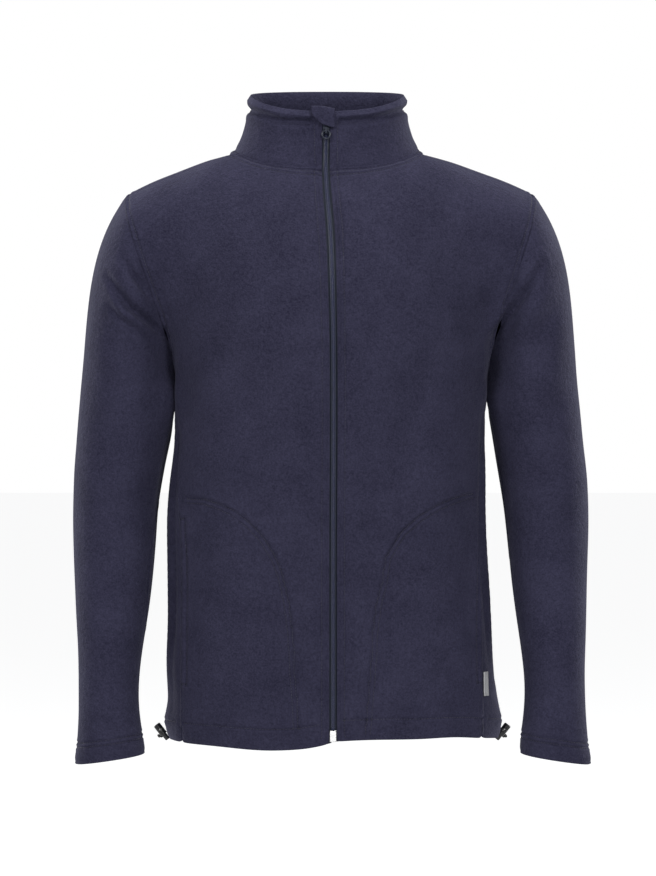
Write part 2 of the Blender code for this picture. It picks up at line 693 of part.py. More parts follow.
# ---------------------------------------------------------------- chin guard and label
# Columns of the flap: across from the zip, height of its lower edge, how far it rises.
CHIN = Table("across low crest", [
    (-0.0165, 0.0300, 0.0400), (-0.0105, 0.0235, 0.0402), (-0.0045, 0.0175, 0.0400),
    (0.0025, 0.0160, 0.0388), (0.0100, 0.0140, 0.0372),
])


def chin_guard(line, facing, finish, collection):
    """The fold over the top of the zip: a front flap, the fold and a short leg inside."""
    grid = []
    for across, low, crest in CHIN.rows:
        rows = []
        for t in (0.0, 0.34, 0.67, 1.0):
            height = low + (0.0325 - low) * t
            rows.append((height, -0.0037 + 0.0003 * t))
        rows += [(crest - 0.0018, -0.0025), (crest, 0.0030), (crest - 0.0018, 0.0088),
                 (0.026, 0.0094), (0.016, 0.0094), (0.006, 0.0094)]
        column = []
        for height, depth in rows:
            base = min(height, 0.0075)
            p, n = at_height(line, facing, base)
            lean = (height - base) * 0.04
            column.append((p[0] + across, p[1] + depth + lean, height))
        grid.append(column)
    flap = np.transpose(np.array(grid), (1, 0, 2))
    along = np.gradient(flap, axis=0)
    across = np.gradient(flap, axis=1)
    normal = unit(np.cross(across, along))
    if normal[0, 2, 1] > 0:
        normal = -normal
    guard = Cloth("chin_guard", flap, 0.0020)
    guard.normal = normal
    guard.build(finish, collection)


def side_label(back, finish, collection):
    """A folded woven loop caught in the wearer's left side seam."""
    outer, normal = back.outer(), back.normal
    heights = np.array(BODY_ROWS)
    rows = []
    for height in (-0.636, -0.621, -0.606):
        i = int(np.clip(np.searchsorted(heights, height) - 1, 0, len(heights) - 2))
        t = (height - heights[i]) / (heights[i + 1] - heights[i])
        line = (outer[i] * (1 - t) + outer[i + 1] * t)[::-1]
        lean = (normal[i] * (1 - t) + normal[i + 1] * t)[::-1]
        p = resample(line, [0.0006, 0.006, 0.0115])[0]
        rows.append(p + unit(lean[0]) * 0.0019)
    label = Cloth("side_label", np.stack(rows), 0.0009)
    label.build(finish, collection)


# ---------------------------------------------------------------- hem cords and locks
LOCK_ANGLE = math.radians(52)
CORD_RADIUS = 0.00125
# Where the cord leaves the hem, passes the lock and ends; SIDE_SHIFT moves each side out.
LOCK_CENTRE = (0.1990, 0.0300, -0.6800)
CORD_ROUTE = [
    (0.1955, 0.0050, -0.6765), (0.1960, 0.0100, -0.6770), (0.1972, 0.0160, -0.6782),
    (0.1985, 0.0210, -0.6795), (0.1990, 0.0245, -0.6800), (0.1990, 0.0300, -0.6800),
    (0.1990, 0.0352, -0.6800), (0.1995, 0.0378, -0.6808), (0.2001, 0.0395, -0.6825),
    (0.2003, 0.0400, -0.6840),
]
KNOT_CENTRE = (0.2003, 0.0402, -0.6880)
KNOT_RADIUS = 0.0036
SIDE_SHIFT = {1: 0.004, -1: 0.0}


def turned(name, profile, segments, finish, collection):
    """A solid turned from (radius, height) points with a Screw modifier."""
    mesh = bpy.data.meshes.new(name)
    mesh.from_pydata([(r, 0, z) for r, z in profile], [(i, i + 1) for i in range(len(profile) - 1)], [])
    made = add_object(name, mesh, finish, collection)
    screw = made.modifiers.new("turn", "SCREW")
    screw.steps = screw.render_steps = segments
    screw.use_merge_vertices = True
    screw.merge_threshold = 0.00005
    screw.use_smooth_shade = False
    return made


def bore(body, name, mesh, place, finish, cutters):
    tool = add_object(name, mesh, finish, cutters)
    tool.matrix_world = place
    tool.hide_render = True
    tool.display_type = "WIRE"
    cut = body.modifiers.new(name, "BOOLEAN")
    cut.operation = "DIFFERENCE"
    cut.object = tool


def cylinder_mesh(name, radius, depth, segments):
    shape = bmesh.new()
    bmesh.ops.create_cone(shape, cap_ends=True, segments=segments, radius1=radius, radius2=radius,
                          depth=depth)
    mesh = bpy.data.meshes.new(name)
    shape.to_mesh(mesh)
    shape.free()
    return mesh


def cord_lock(word, side, finish, collection, cutters):
    """Barrel with a blind bore, and the sprung plunger in it; the cord crosses both."""
    axis = Vector((-side * math.cos(LOCK_ANGLE), 0, -math.sin(LOCK_ANGLE)))
    along_cord = Vector((0, 1, 0))
    third = along_cord.cross(axis).normalized()
    turn = Matrix((third, along_cord, axis)).transposed().to_4x4()
    centre = Vector(LOCK_CENTRE)
    centre.x = side * (centre.x + SIDE_SHIFT[side])
    turn.translation = centre
    barrel = turned("lock_barrel_" + word, [
        (0.0, -0.0060), (0.0033, -0.0060), (0.0033, 0.0060), (0.0043, 0.0060),
        (0.0043, -0.0072), (0.0036, -0.0080), (0.0, -0.0080),
    ], 24, finish, collection)
    barrel.matrix_world = turn
    across = turn @ Matrix.Rotation(math.pi / 2, 4, "X")
    bore(barrel, "cord_bore_" + word, cylinder_mesh("cord_bore", 0.0018, 0.02, 16), across, finish,
         cutters)
    plunger = turned("lock_plunger_" + word, [
        (0.0, 0.0138), (0.0022, 0.0138), (0.0029, 0.0130), (0.0029, -0.0024), (0.0, -0.0024),
    ], 20, finish, collection)
    plunger.matrix_world = turn
    slot = turn @ Matrix.Translation((0, 0, 0.0015))
    bore(plunger, "cord_slot_" + word, box_mesh("cord_slot", (0.0032, 0.02, 0.0064), (0, 0, 0), 0.0),
         slot, finish, cutters)
    return turn


def hem_cord(word, side, finish, collection):
    curve = bpy.data.curves.new("hem_cord_" + word, "CURVE")
    curve.dimensions = "3D"
    curve.bevel_depth = CORD_RADIUS
    curve.bevel_resolution = 2
    curve.use_fill_caps = True
    spline = curve.splines.new("POLY")
    spline.points.add(len(CORD_ROUTE) - 1)
    for point, (x, y, z) in zip(spline.points, CORD_ROUTE):
        point.co = (side * (x + SIDE_SHIFT[side]), y, z, 1)
    made = bpy.data.objects.new("hem_cord_" + word, curve)
    curve.materials.append(finish)
    collection.objects.link(made)
    shape = bmesh.new()
    bmesh.ops.create_uvsphere(shape, u_segments=14, v_segments=8, radius=KNOT_RADIUS)
    mesh = bpy.data.meshes.new("cord_knot_" + word)
    shape.to_mesh(mesh)
    shape.free()
    mesh.shade_smooth()
    knot = add_object("cord_knot_" + word, mesh, finish, collection)
    knot.location = (side * (KNOT_CENTRE[0] + SIDE_SHIFT[side]), *KNOT_CENTRE[1:])


# ---------------------------------------------------------------- assembly
def main():
    clear_scene()
    jacket = bpy.data.collections.new("fleece_zip_jacket")
    cutters = bpy.data.collections.new("cutters")
    for made in (jacket, cutters):
        bpy.context.scene.collection.children.link(made)
    fleece = material("navy_fleece", NAVY, 0.95)
    tape_finish = material("zip_tape", ZIP_NAVY, 0.8)
    coil_finish = material("zip_coil", ZIP_NAVY, 0.45)
    nickel = material("nickel", NICKEL, 0.3, 1.0)
    plastic = material("black_plastic", BLACK, 0.35)
    elastic = material("elastic_cord", BLACK, 0.8)
    woven = material("label_weave", LABEL_GREY, 0.8)

    body_thick = np.full((len(BODY_ROWS) + len(UPPER_ROWS), 1), FLEECE)
    body_thick[:HEM_ROW_COUNT] = 2 * FLEECE
    front_thick = np.repeat(body_thick, NECK_COLUMNS + SHOULDER_COLUMNS + 1, axis=1)
    front_thick[:, :2] = FLEECE
    front_left = Cloth("front_left", front_grid(1), front_thick)
    front_right = Cloth("front_right", front_grid(-1), front_thick)
    left, right = back_half_grid(1), back_half_grid(-1)
    back_columns = faired(np.concatenate([right[:, ::-1], left[:, 1:]], axis=1), BACK_HOLD)
    back = Cloth("back", back_columns, body_thick)

    sleeves = []
    for side, front, half in ((1, front_left, left), (-1, front_right, right)):
        first = len(BODY_ROWS) - 1
        up = front.grid[first:, -1]
        down = half[first:, -1][::-1]
        armhole = np.concatenate([up, down[1:-1]])
        grid = sleeve_grid(side, armhole)
        thick = np.full((len(grid), 1), FLEECE)
        thick[-2:] = 2 * FLEECE
        sleeves.append(Cloth("sleeve_left" if side > 0 else "sleeve_right", grid, thick, ring=True))
    settle_seams([front_left, front_right, back, *sleeves])
    kept = {p.name: (p.shift.copy(), p.normal.copy()) for p in (front_left, front_right, back)}
    collar, shares = build_collar(fleece, jacket, [front_left, front_right, back])
    for piece in (front_left, front_right, back):
        top = len(piece.grid) - 1
        necks = NECK_COLUMNS if piece is not back else BACK_NECK_COLUMNS
        shift, normal = kept[piece.name]
        columns = range(necks + 1)
        if piece is back:
            middle = BACK_NECK_COLUMNS + SHOULDER_COLUMNS
            columns = range(middle - necks, middle + necks + 1)
        for c in columns:
            shift[top, c] = piece.shift[top, c]
            normal[top, c] = piece.normal[top, c]
        piece.shift, piece.normal = shift, normal
    for piece in (front_left, front_right, back, *sleeves):
        piece.build(fleece, jacket)

    pocket_bag(front_left, 1, "pocket_bag_left", fleece, jacket)
    pocket_bag(front_right, -1, "pocket_bag_right", fleece, jacket)
    at_left = zip_stations(front_left, collar, shares, 1)
    at_right = zip_stations(front_right, collar, shares, -1)
    zip_tape("zip_tape_left", at_left, tape_finish, jacket)
    zip_tape("zip_tape_right", at_right, tape_finish, jacket)
    line, facing = zip_middle(at_left, at_right)
    zip_chain(line, facing, coil_finish, jacket)
    place = zip_slider(line, facing, coil_finish, jacket, cutters)
    zip_pull(place, coil_finish, jacket)
    zip_box(line, facing, nickel, jacket)
    chin_guard(line, facing, fleece, jacket)
    side_label(back, woven, jacket)
    for word, side in (("left", 1), ("right", -1)):
        cord_lock(word, side, plastic, jacket, cutters)
        hem_cord(word, side, elastic, jacket)


main()
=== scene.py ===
"""Looks of a men's fleece zip jacket, filled out as it hangs when worn.

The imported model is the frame: every place below comes from its pieces, in metres, with the zip
towards -Y, +Z up and +X to the wearer's left. Each fleece panel is a finely divided copy of its
solid with soft folds and sewn grooves; threads, zip coils and cords are laid on afterwards.
"""

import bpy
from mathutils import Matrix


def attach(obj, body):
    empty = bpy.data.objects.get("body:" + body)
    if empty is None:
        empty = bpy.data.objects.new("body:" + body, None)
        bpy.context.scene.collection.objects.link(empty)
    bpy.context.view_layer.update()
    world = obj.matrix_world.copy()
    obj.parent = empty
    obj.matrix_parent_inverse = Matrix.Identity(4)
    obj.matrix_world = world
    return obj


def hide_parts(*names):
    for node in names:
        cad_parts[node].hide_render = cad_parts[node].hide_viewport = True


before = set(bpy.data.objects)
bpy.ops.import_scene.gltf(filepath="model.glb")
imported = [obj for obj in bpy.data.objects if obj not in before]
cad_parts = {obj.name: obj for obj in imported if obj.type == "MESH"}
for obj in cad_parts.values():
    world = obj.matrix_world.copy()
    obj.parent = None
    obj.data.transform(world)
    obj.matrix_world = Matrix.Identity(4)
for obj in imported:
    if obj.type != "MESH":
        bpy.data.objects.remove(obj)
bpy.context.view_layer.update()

import logging
import math
from dataclasses import dataclass, field
from enum import Enum

import bmesh
import bpy
import numpy as np
from mathutils import Vector
from mathutils.bvhtree import BVHTree
from mathutils.kdtree import KDTree

log = logging.getLogger("fleece_jacket")
Points = np.ndarray


# ------------------------------------------------------------------ named options
class Hold(Enum):
    """How a cloth piece is held in the jacket."""

    HUNG = "hung"
    FOLDED = "folded"


class Relief(Enum):
    """Which way a fold stands from the cloth."""

    RIDGE = 1.0
    TROUGH = -1.0


class Side(Enum):
    """The wearer's left, towards +X, and right, towards -X."""

    LEFT = 1
    RIGHT = -1

    @property
    def word(self) -> str:
        """The side's name as the CAD nodes spell it."""
        return self.name.lower()


# ------------------------------------------------------------------ shader node groups
def new_group(name: str, inputs: dict[str, float], outputs: dict[str, str]) -> bpy.types.NodeTree:
    """Start a shader node group with float or vector inputs and named outputs.

    Args:
        name: The group's name.
        inputs: Float inputs and their default values; "Vector" is a vector input.
        outputs: Output names and their socket types.

    Returns:
        The empty group with its input and output nodes.
    """
    tree = bpy.data.node_groups.new(name, "ShaderNodeTree")
    for label, value in inputs.items():
        kind = "NodeSocketVector" if label == "Vector" else "NodeSocketFloat"
        socket = tree.interface.new_socket(label, in_out="INPUT", socket_type=kind)
        if kind == "NodeSocketFloat":
            socket.default_value = value
    for label, kind in outputs.items():
        tree.interface.new_socket(label, in_out="OUTPUT", socket_type=kind)
    tree.nodes.new("NodeGroupInput").name = "in"
    tree.nodes.new("NodeGroupOutput").name = "out"
    return tree


def math_node(tree: bpy.types.NodeTree, kind: str, a: object, b: object, clamp: bool = False) -> object:
    """Add a Math node fed by sockets or numbers.

    Args:
        tree: The node tree.
        kind: The Math node's operation.
        a: First input, a socket or a number.
        b: Second input, a socket or a number.
        clamp: Whether the result is kept between 0 and 1.

    Returns:
        The node's output socket.
    """
    node = tree.nodes.new("ShaderNodeMath")
    node.operation, node.use_clamp = kind, clamp
    for i, value in enumerate((a, b)):
        if isinstance(value, (int, float)):
            node.inputs[i].default_value = value
        else:
            tree.links.new(value, node.inputs[i])
    return node.outputs[0]


def weighed(tree: bpy.types.NodeTree, a: object, share_a: float, b: object, share_b: float) -> object:
    """The sum of two sockets' values, each times its share."""
    return math_node(tree, "ADD", math_node(tree, "MULTIPLY", a, share_a),
                     math_node(tree, "MULTIPLY", b, share_b))


def about(tree: bpy.types.NodeTree, value: object, middle: float, scale: object) -> object:
    """A socket's distance from a middle value, times a scale."""
    return math_node(tree, "MULTIPLY", math_node(tree, "SUBTRACT", value, middle), scale)


def noise(tree: bpy.types.NodeTree, vector: object, scale: float, detail: float, rough: float) -> object:
    """Add a noise texture read at a vector.

    Args:
        tree: The node tree.
        vector: The socket of the coordinates.
        scale: Cells a metre.
        detail: Octaves of detail.
        rough: Weight of the finer octaves.

    Returns:
        The noise's value socket.
    """
    node = tree.nodes.new("ShaderNodeTexNoise")
    node.inputs["Scale"].default_value = scale
    node.inputs["Detail"].default_value = detail
    node.inputs["Roughness"].default_value = rough
    tree.links.new(vector, node.inputs["Vector"])
    return node.outputs[0]


def nap_group() -> bpy.types.NodeTree:
    """Brushed nap: fine fibre grain, soft pills and broad uneven brushing.

    Returns:
        A group with inputs Vector, Grain and Brushing, and outputs Tone, Height and Roughness.
    """
    tree = new_group("brushed_nap", {"Vector": 0.0, "Grain": 1.0, "Brushing": 1.0},
                     {"Tone": "NodeSocketFloat", "Height": "NodeSocketFloat",
                      "Roughness": "NodeSocketFloat"})
    start, end = tree.nodes["in"], tree.nodes["out"]
    vector = start.outputs["Vector"]
    fibre = noise(tree, vector, 1500.0, 3.0, 0.65)
    tuft = noise(tree, vector, 520.0, 3.0, 0.6)
    clump = noise(tree, vector, 210.0, 2.0, 0.5)
    broad = noise(tree, vector, 24.0, 3.0, 0.5)
    fine = about(tree, weighed(tree, fibre, 0.3, tuft, 0.7), 0.5, start.outputs["Grain"])
    coarse = about(tree, weighed(tree, clump, 0.45, broad, 0.55), 0.5, start.outputs["Brushing"])
    tone = math_node(tree, "ADD", weighed(tree, fine, 2.1, coarse, 1.6), 0.5, clamp=True)
    height = weighed(tree, fine, 0.8, clump, 0.9)
    rough = math_node(tree, "SUBTRACT", 0.96, math_node(tree, "MULTIPLY", tone, 0.10), clamp=True)
    tree.links.new(tone, end.inputs["Tone"])
    tree.links.new(height, end.inputs["Height"])
    tree.links.new(rough, end.inputs["Roughness"])
    return tree


def weave_group() -> bpy.types.NodeTree:
    """Twill weave of narrow ribbon and tape.

    Returns:
        A group with inputs Vector, Pitch and Slant, and outputs Thread and Height.
    """
    tree = new_group("twill_weave", {"Vector": 0.0, "Pitch": 1600.0, "Slant": 1.0},
                     {"Thread": "NodeSocketFloat", "Height": "NodeSocketFloat"})
    start, end = tree.nodes["in"], tree.nodes["out"]
    split = tree.nodes.new("ShaderNodeSeparateXYZ")
    tree.links.new(start.outputs["Vector"], split.inputs[0])
    across = math_node(tree, "ADD", split.outputs["X"], split.outputs["Y"])
    slanted = math_node(tree, "MULTIPLY", across, start.outputs["Slant"])
    diagonal = math_node(tree, "MULTIPLY", math_node(tree, "ADD", split.outputs["Z"], slanted),
                         start.outputs["Pitch"])
    upright = math_node(tree, "MULTIPLY", math_node(tree, "SUBTRACT", split.outputs["Z"], slanted),
                        start.outputs["Pitch"])
    first = math_node(tree, "SINE", diagonal, 0.0)
    second = math_node(tree, "SINE", upright, 0.0)
    cross = math_node(tree, "MULTIPLY", first, second)
    thread = math_node(tree, "ADD", weighed(tree, first, 0.3, cross, 0.2), 0.5, clamp=True)
    tree.links.new(thread, end.inputs["Thread"])
    tree.links.new(cross, end.inputs["Height"])
    return tree


def handling_group() -> bpy.types.NodeTree:
    """Light handling marks: faint scuffs and dull patches on moulded and plated pieces.

    Returns:
        A group with inputs Vector and Amount, and outputs Tone, Roughness and Height.
    """
    tree = new_group("handling", {"Vector": 0.0, "Amount": 1.0},
                     {"Tone": "NodeSocketFloat", "Roughness": "NodeSocketFloat",
                      "Height": "NodeSocketFloat"})
    start, end = tree.nodes["in"], tree.nodes["out"]
    patch = noise(tree, start.outputs["Vector"], 260.0, 3.0, 0.55)
    scuff = noise(tree, start.outputs["Vector"], 1900.0, 4.0, 0.7)
    tone = about(tree, patch, 0.5, start.outputs["Amount"])
    tree.links.new(math_node(tree, "ADD", tone, 0.5, clamp=True), end.inputs["Tone"])
    rough = about(tree, scuff, 0.35, start.outputs["Amount"])
    tree.links.new(math_node(tree, "MAXIMUM", rough, 0.0), end.inputs["Roughness"])
    tree.links.new(scuff, end.inputs["Height"])
    return tree


# ------------------------------------------------------------------ finishes
Colour = tuple[float, float, float]


@dataclass(frozen=True)
class Finish:
    """A material's name, its two tones, how its surface stands out and how rough it is."""

    name: str
    low: Colour
    high: Colour
    bump: float
    bump_depth: float
    roughness: float = 0.35

    def start(self) -> tuple[bpy.types.Material, bpy.types.Node]:
        """Make the material.

        Returns:
            The material and its Principled shader.
        """
        made = bpy.data.materials.new(self.name)
        made.use_nodes = True
        return made, made.node_tree.nodes["Principled BSDF"]

    def object_vector(self, tree: bpy.types.NodeTree) -> object:
        """The socket of Object coordinates, added to the tree."""
        return tree.nodes.new("ShaderNodeTexCoord").outputs["Object"]

    def placed(self, tree: bpy.types.NodeTree, group: bpy.types.NodeTree, **values: float) -> bpy.types.Node:
        """Place a node group that reads Object coordinates.

        Args:
            tree: The material's tree.
            group: The node group.
            **values: Values of the group's inputs, by name.

        Returns:
            The group node.
        """
        node = tree.nodes.new("ShaderNodeGroup")
        node.node_tree = group
        tree.links.new(self.object_vector(tree), node.inputs["Vector"])
        for label, value in values.items():
            node.inputs[label].default_value = value
        return node

    def tint(self, tree: bpy.types.NodeTree, share: object, shader: bpy.types.Node) -> None:
        """Run the base colour from the low to the high tone by a share.

        Args:
            tree: The material's tree.
            share: Socket from 0 to 1.
            shader: The Principled shader.
        """
        ramp = tree.nodes.new("ShaderNodeValToRGB")
        ramp.color_ramp.elements[0].color = (*self.low, 1.0)
        ramp.color_ramp.elements[1].color = (*self.high, 1.0)
        tree.links.new(share, ramp.inputs[0])
        tree.links.new(ramp.outputs[0], shader.inputs["Base Color"])

    def roughen(self, tree: bpy.types.NodeTree, share: object, gain: float,
                shader: bpy.types.Node) -> None:
        """Set the roughness to the finish's own plus a share times a gain.

        Args:
            tree: The material's tree.
            share: Socket of the share.
            gain: What the share is multiplied by.
            shader: The Principled shader.
        """
        rough = math_node(tree, "MULTIPLY_ADD", share, gain)
        rough.node.inputs[2].default_value = self.roughness
        tree.links.new(rough, shader.inputs["Roughness"])

    def raise_surface(self, tree: bpy.types.NodeTree, height: object, shader: bpy.types.Node) -> None:
        """Feed a height into the shader's normal through a Bump node.

        Args:
            tree: The material's tree.
            height: Socket of the height.
            shader: The Principled shader.
        """
        bump = tree.nodes.new("ShaderNodeBump")
        bump.inputs["Strength"].default_value = self.bump
        bump.inputs["Distance"].default_value = self.bump_depth
        tree.links.new(height, bump.inputs["Height"])
        tree.links.new(bump.outputs[0], shader.inputs["Normal"])


@dataclass(frozen=True)
class FleeceFinish(Finish):
    """Brushed polyester fleece, matte, with a pale fuzz that shows at its edges."""

    fuzz: float = 0.13
    fuzz_colour: Colour = (0.42, 0.42, 0.60)
    grain: float = 1.0

    def material(self, nap: bpy.types.NodeTree) -> bpy.types.Material:
        """Make the fleece from the brushed nap.

        Args:
            nap: The brushed nap group.

        Returns:
            The material.
        """
        made, shader = self.start()
        tree = made.node_tree
        node = self.placed(tree, nap, Grain=self.grain, Brushing=0.75)
        self.tint(tree, node.outputs["Tone"], shader)
        tree.links.new(node.outputs["Roughness"], shader.inputs["Roughness"])
        self.raise_surface(tree, node.outputs["Height"], shader)
        shader.inputs["Specular IOR Level"].default_value = 0.12
        shader.inputs["Sheen Weight"].default_value = self.fuzz
        shader.inputs["Sheen Roughness"].default_value = 0.42
        shader.inputs["Sheen Tint"].default_value = (*self.fuzz_colour, 1.0)
        return made


@dataclass(frozen=True)
class WovenFinish(Finish):
    """Woven polyester of the zip tape, the label and the cord's braid."""

    roughness: float = 0.7
    pitch: float = 3200.0
    slant: float = 1.0
    sheen: float = 0.1

    def material(self, weave: bpy.types.NodeTree) -> bpy.types.Material:
        """Make the woven finish.

        Args:
            weave: The twill weave group.

        Returns:
            The material.
        """
        made, shader = self.start()
        tree = made.node_tree
        node = self.placed(tree, weave, Pitch=self.pitch, Slant=self.slant)
        self.tint(tree, node.outputs["Thread"], shader)
        self.raise_surface(tree, node.outputs["Height"], shader)
        self.roughen(tree, node.outputs["Thread"], 0.12, shader)
        shader.inputs["Sheen Weight"].default_value = self.sheen
        shader.inputs["Sheen Roughness"].default_value = 0.4
        return made


@dataclass(frozen=True)
class HardFinish(Finish):
    """Moulded or plated pieces: coil, slider, cord locks and the bottom box."""

    metal: float = 0.0
    handled: float = 1.0

    def material(self, handling: bpy.types.NodeTree) -> bpy.types.Material:
        """Make the hard finish.

        Args:
            handling: The handling marks group.

        Returns:
            The material.
        """
        made, shader = self.start()
        tree = made.node_tree
        node = self.placed(tree, handling, Amount=self.handled)
        self.tint(tree, node.outputs["Tone"], shader)
        self.roughen(tree, node.outputs["Roughness"], 0.35, shader)
        self.raise_surface(tree, node.outputs["Height"], shader)
        shader.inputs["Metallic"].default_value = self.metal
        return made


class Wardrobe:
    """Every finish of the jacket, made once."""

    def __init__(self) -> None:
        """Build the shared groups and the materials."""
        nap, weave, handling = nap_group(), weave_group(), handling_group()
        self.fleece = FleeceFinish("fleece_navy", (0.0125, 0.0120, 0.0270), (0.0410, 0.0396, 0.0740),
                                   0.9, 0.0013).material(nap)
        self.inside = FleeceFinish("fleece_inside", (0.0170, 0.0163, 0.0300), (0.0440, 0.0424, 0.0680),
                                   0.6, 0.0010, fuzz=0.2).material(nap)
        self.thread = WovenFinish("sewing_thread", (0.012, 0.012, 0.024), (0.038, 0.037, 0.062),
                                  0.5, 0.0002, pitch=9000.0, roughness=0.55).material(weave)
        self.tape = WovenFinish("zip_tape_weave", (0.0070, 0.0100, 0.0215), (0.018, 0.025, 0.047),
                                0.6, 0.0002, pitch=5200.0).material(weave)
        self.label = WovenFinish("label_ribbon", (0.26, 0.26, 0.27), (0.55, 0.55, 0.57),
                                 0.6, 0.0002, pitch=6200.0, slant=0.4).material(weave)
        self.braid = WovenFinish("elastic_braid", (0.004, 0.004, 0.005), (0.030, 0.030, 0.034),
                                 0.8, 0.0003, pitch=5600.0, slant=1.7, roughness=0.62).material(weave)
        self.coil = HardFinish("moulded_coil", (0.0062, 0.0090, 0.0190), (0.0130, 0.0190, 0.0380),
                               0.15, 0.0001, roughness=0.34).material(handling)
        self.tooth = HardFinish("coil_teeth", (0.0095, 0.0125, 0.0380), (0.0270, 0.0330, 0.0880),
                                0.15, 0.0001, roughness=0.30).material(handling)
        self.nickel = HardFinish("bright_nickel", (0.50, 0.50, 0.50), (0.66, 0.66, 0.66),
                                 0.12, 0.0001, roughness=0.16, metal=1.0).material(handling)
        self.acetal = HardFinish("black_acetal", (0.008, 0.008, 0.010), (0.020, 0.020, 0.024),
                                 0.2, 0.0001, roughness=0.30).material(handling)


# ------------------------------------------------------------------ mesh helpers
def unit(v: Points) -> Points:
    """Vectors of length one."""
    return v / np.maximum(np.linalg.norm(v, axis=-1, keepdims=True), 1e-12)


def add_mesh(name: str, points: Points, faces: list, finish: bpy.types.Material) -> bpy.types.Object:
    """Link a new mesh object at the origin.

    Args:
        name: The object's name.
        points: Vertex places.
        faces: Vertex indices of each face.
        finish: Its material.

    Returns:
        The object.
    """
    mesh = bpy.data.meshes.new(name)
    mesh.from_pydata(np.asarray(points, float).tolist(), [], faces)
    mesh.materials.append(finish)
    mesh.shade_smooth()
    return link_new(name, mesh)


def link_new(name: str, data: bpy.types.ID) -> bpy.types.Object:
    """Make an object of a mesh, curve, lamp or camera and put it in the scene."""
    made = bpy.data.objects.new(name, data)
    bpy.context.scene.collection.objects.link(made)
    return made


def tube_faces(start: int, rings: int, sides: int, closed: bool = False) -> list[tuple[int, ...]]:
    """Quads between rings of points that lie one after another.

    Args:
        start: Index of the first ring's first point.
        rings: How many rings.
        sides: Points in a ring.
        closed: Whether the last ring meets the first.

    Returns:
        The faces.
    """
    faces = []
    for r in range(rings if closed else rings - 1):
        a, b = start + r * sides, start + (r + 1) % rings * sides
        faces += [(a + s, a + (s + 1) % sides, b + (s + 1) % sides, b + s) for s in range(sides)]
    return faces


def coordinates(mesh: bpy.types.Mesh) -> Points:
    """Vertex places of a mesh as an array."""
    flat = np.zeros(len(mesh.vertices) * 3, np.float64)
    mesh.vertices.foreach_get("co", flat)
    return flat.reshape(-1, 3)


def lengths(line: Points) -> Points:
    """Length along a polyline to each of its points."""
    return np.concatenate([[0], np.cumsum(np.linalg.norm(np.diff(line, axis=0), axis=1))])


def evenly(line: Points, step: float) -> Points:
    """Points along a polyline at even steps.

    Args:
        line: The polyline.
        step: Wanted distance between points.

    Returns:
        The new points, both ends kept.
    """
    length = lengths(line)
    along = np.linspace(0, length[-1], max(2, int(round(length[-1] / step)) + 1))
    return np.stack([np.interp(along, length, line[:, k]) for k in range(3)], axis=1)


def spline(line: Points, step: float) -> Points:
    """A polyline eased the way the panels' own division eases their edges.

    Args:
        line: Control points, at least two.
        step: Distance between the points given back.

    Returns:
        Points of the uniform cubic curve, from the first control point to the last.
    """
    pad = np.concatenate([[2 * line[0] - line[1]], line, [2 * line[-1] - line[-2]]])
    t = np.linspace(0, 1, 9)[:-1, None]
    made = [((1 - t) ** 3 * a + (3 * t**3 - 6 * t**2 + 4) * b
             + (-3 * t**3 + 3 * t**2 + 3 * t + 1) * c + t**3 * d) / 6
            for a, b, c, d in zip(pad, pad[1:], pad[2:], pad[3:])]
    return evenly(np.concatenate([*made, [line[-1]]]), step)


def surface_tree(points: Points, faces: list) -> BVHTree:
    """A search tree over faces."""
    return BVHTree.FromPolygons([Vector(p) for p in points], faces, epsilon=0.0)


def nearest(tree: BVHTree, points: Points) -> tuple[Points, Points]:
    """Nearest places on a surface and its normals there.

    Args:
        tree: The surface.
        points: Places to look from.

    Returns:
        Arrays of places and of normals.
    """
    found = [tree.find_nearest(Vector(p))[:2] for p in points]
    return np.array([f[0][:] for f in found]), np.array([f[1][:] for f in found])


def distance_to(lines: list[Points], points: Points, reach: float) -> tuple[Points, Points]:
    """Distance from each point to the nearest of several dense lines.

    Args:
        lines: Densely sampled lines.
        points: The points.
        reach: Distances past this are given as twice it.

    Returns:
        Distances, and the share along its line of each nearest sample.
    """
    tree = KDTree(sum(len(line) for line in lines))
    shares = []
    for line in lines:
        for k, p in enumerate(line):
            tree.insert(p, len(shares))
            shares.append(k / max(1, len(line) - 1))
    tree.balance()
    far, share = np.full(len(points), 2 * reach), np.zeros(len(points))
    box = np.concatenate(lines)
    low, high = box.min(0) - reach, box.max(0) + reach
    for i in np.flatnonzero(np.all((points > low) & (points < high), axis=1)):
        _, index, away = tree.find(points[i])
        if away < reach:
            far[i], share[i] = away, shares[index]
    return far, share


# ------------------------------------------------------------------ sight lines
EYE = (-0.003, -3.4, -0.338)  # where the camera stands and marks are sighted from
CLOTH = 0.0026  # thickness of the fleece


class View(Enum):
    """The side a fold or stitched line is marked from."""

    FRONT = "front"
    BACK = "back"
    LEFT = "left"
    RIGHT = "right"


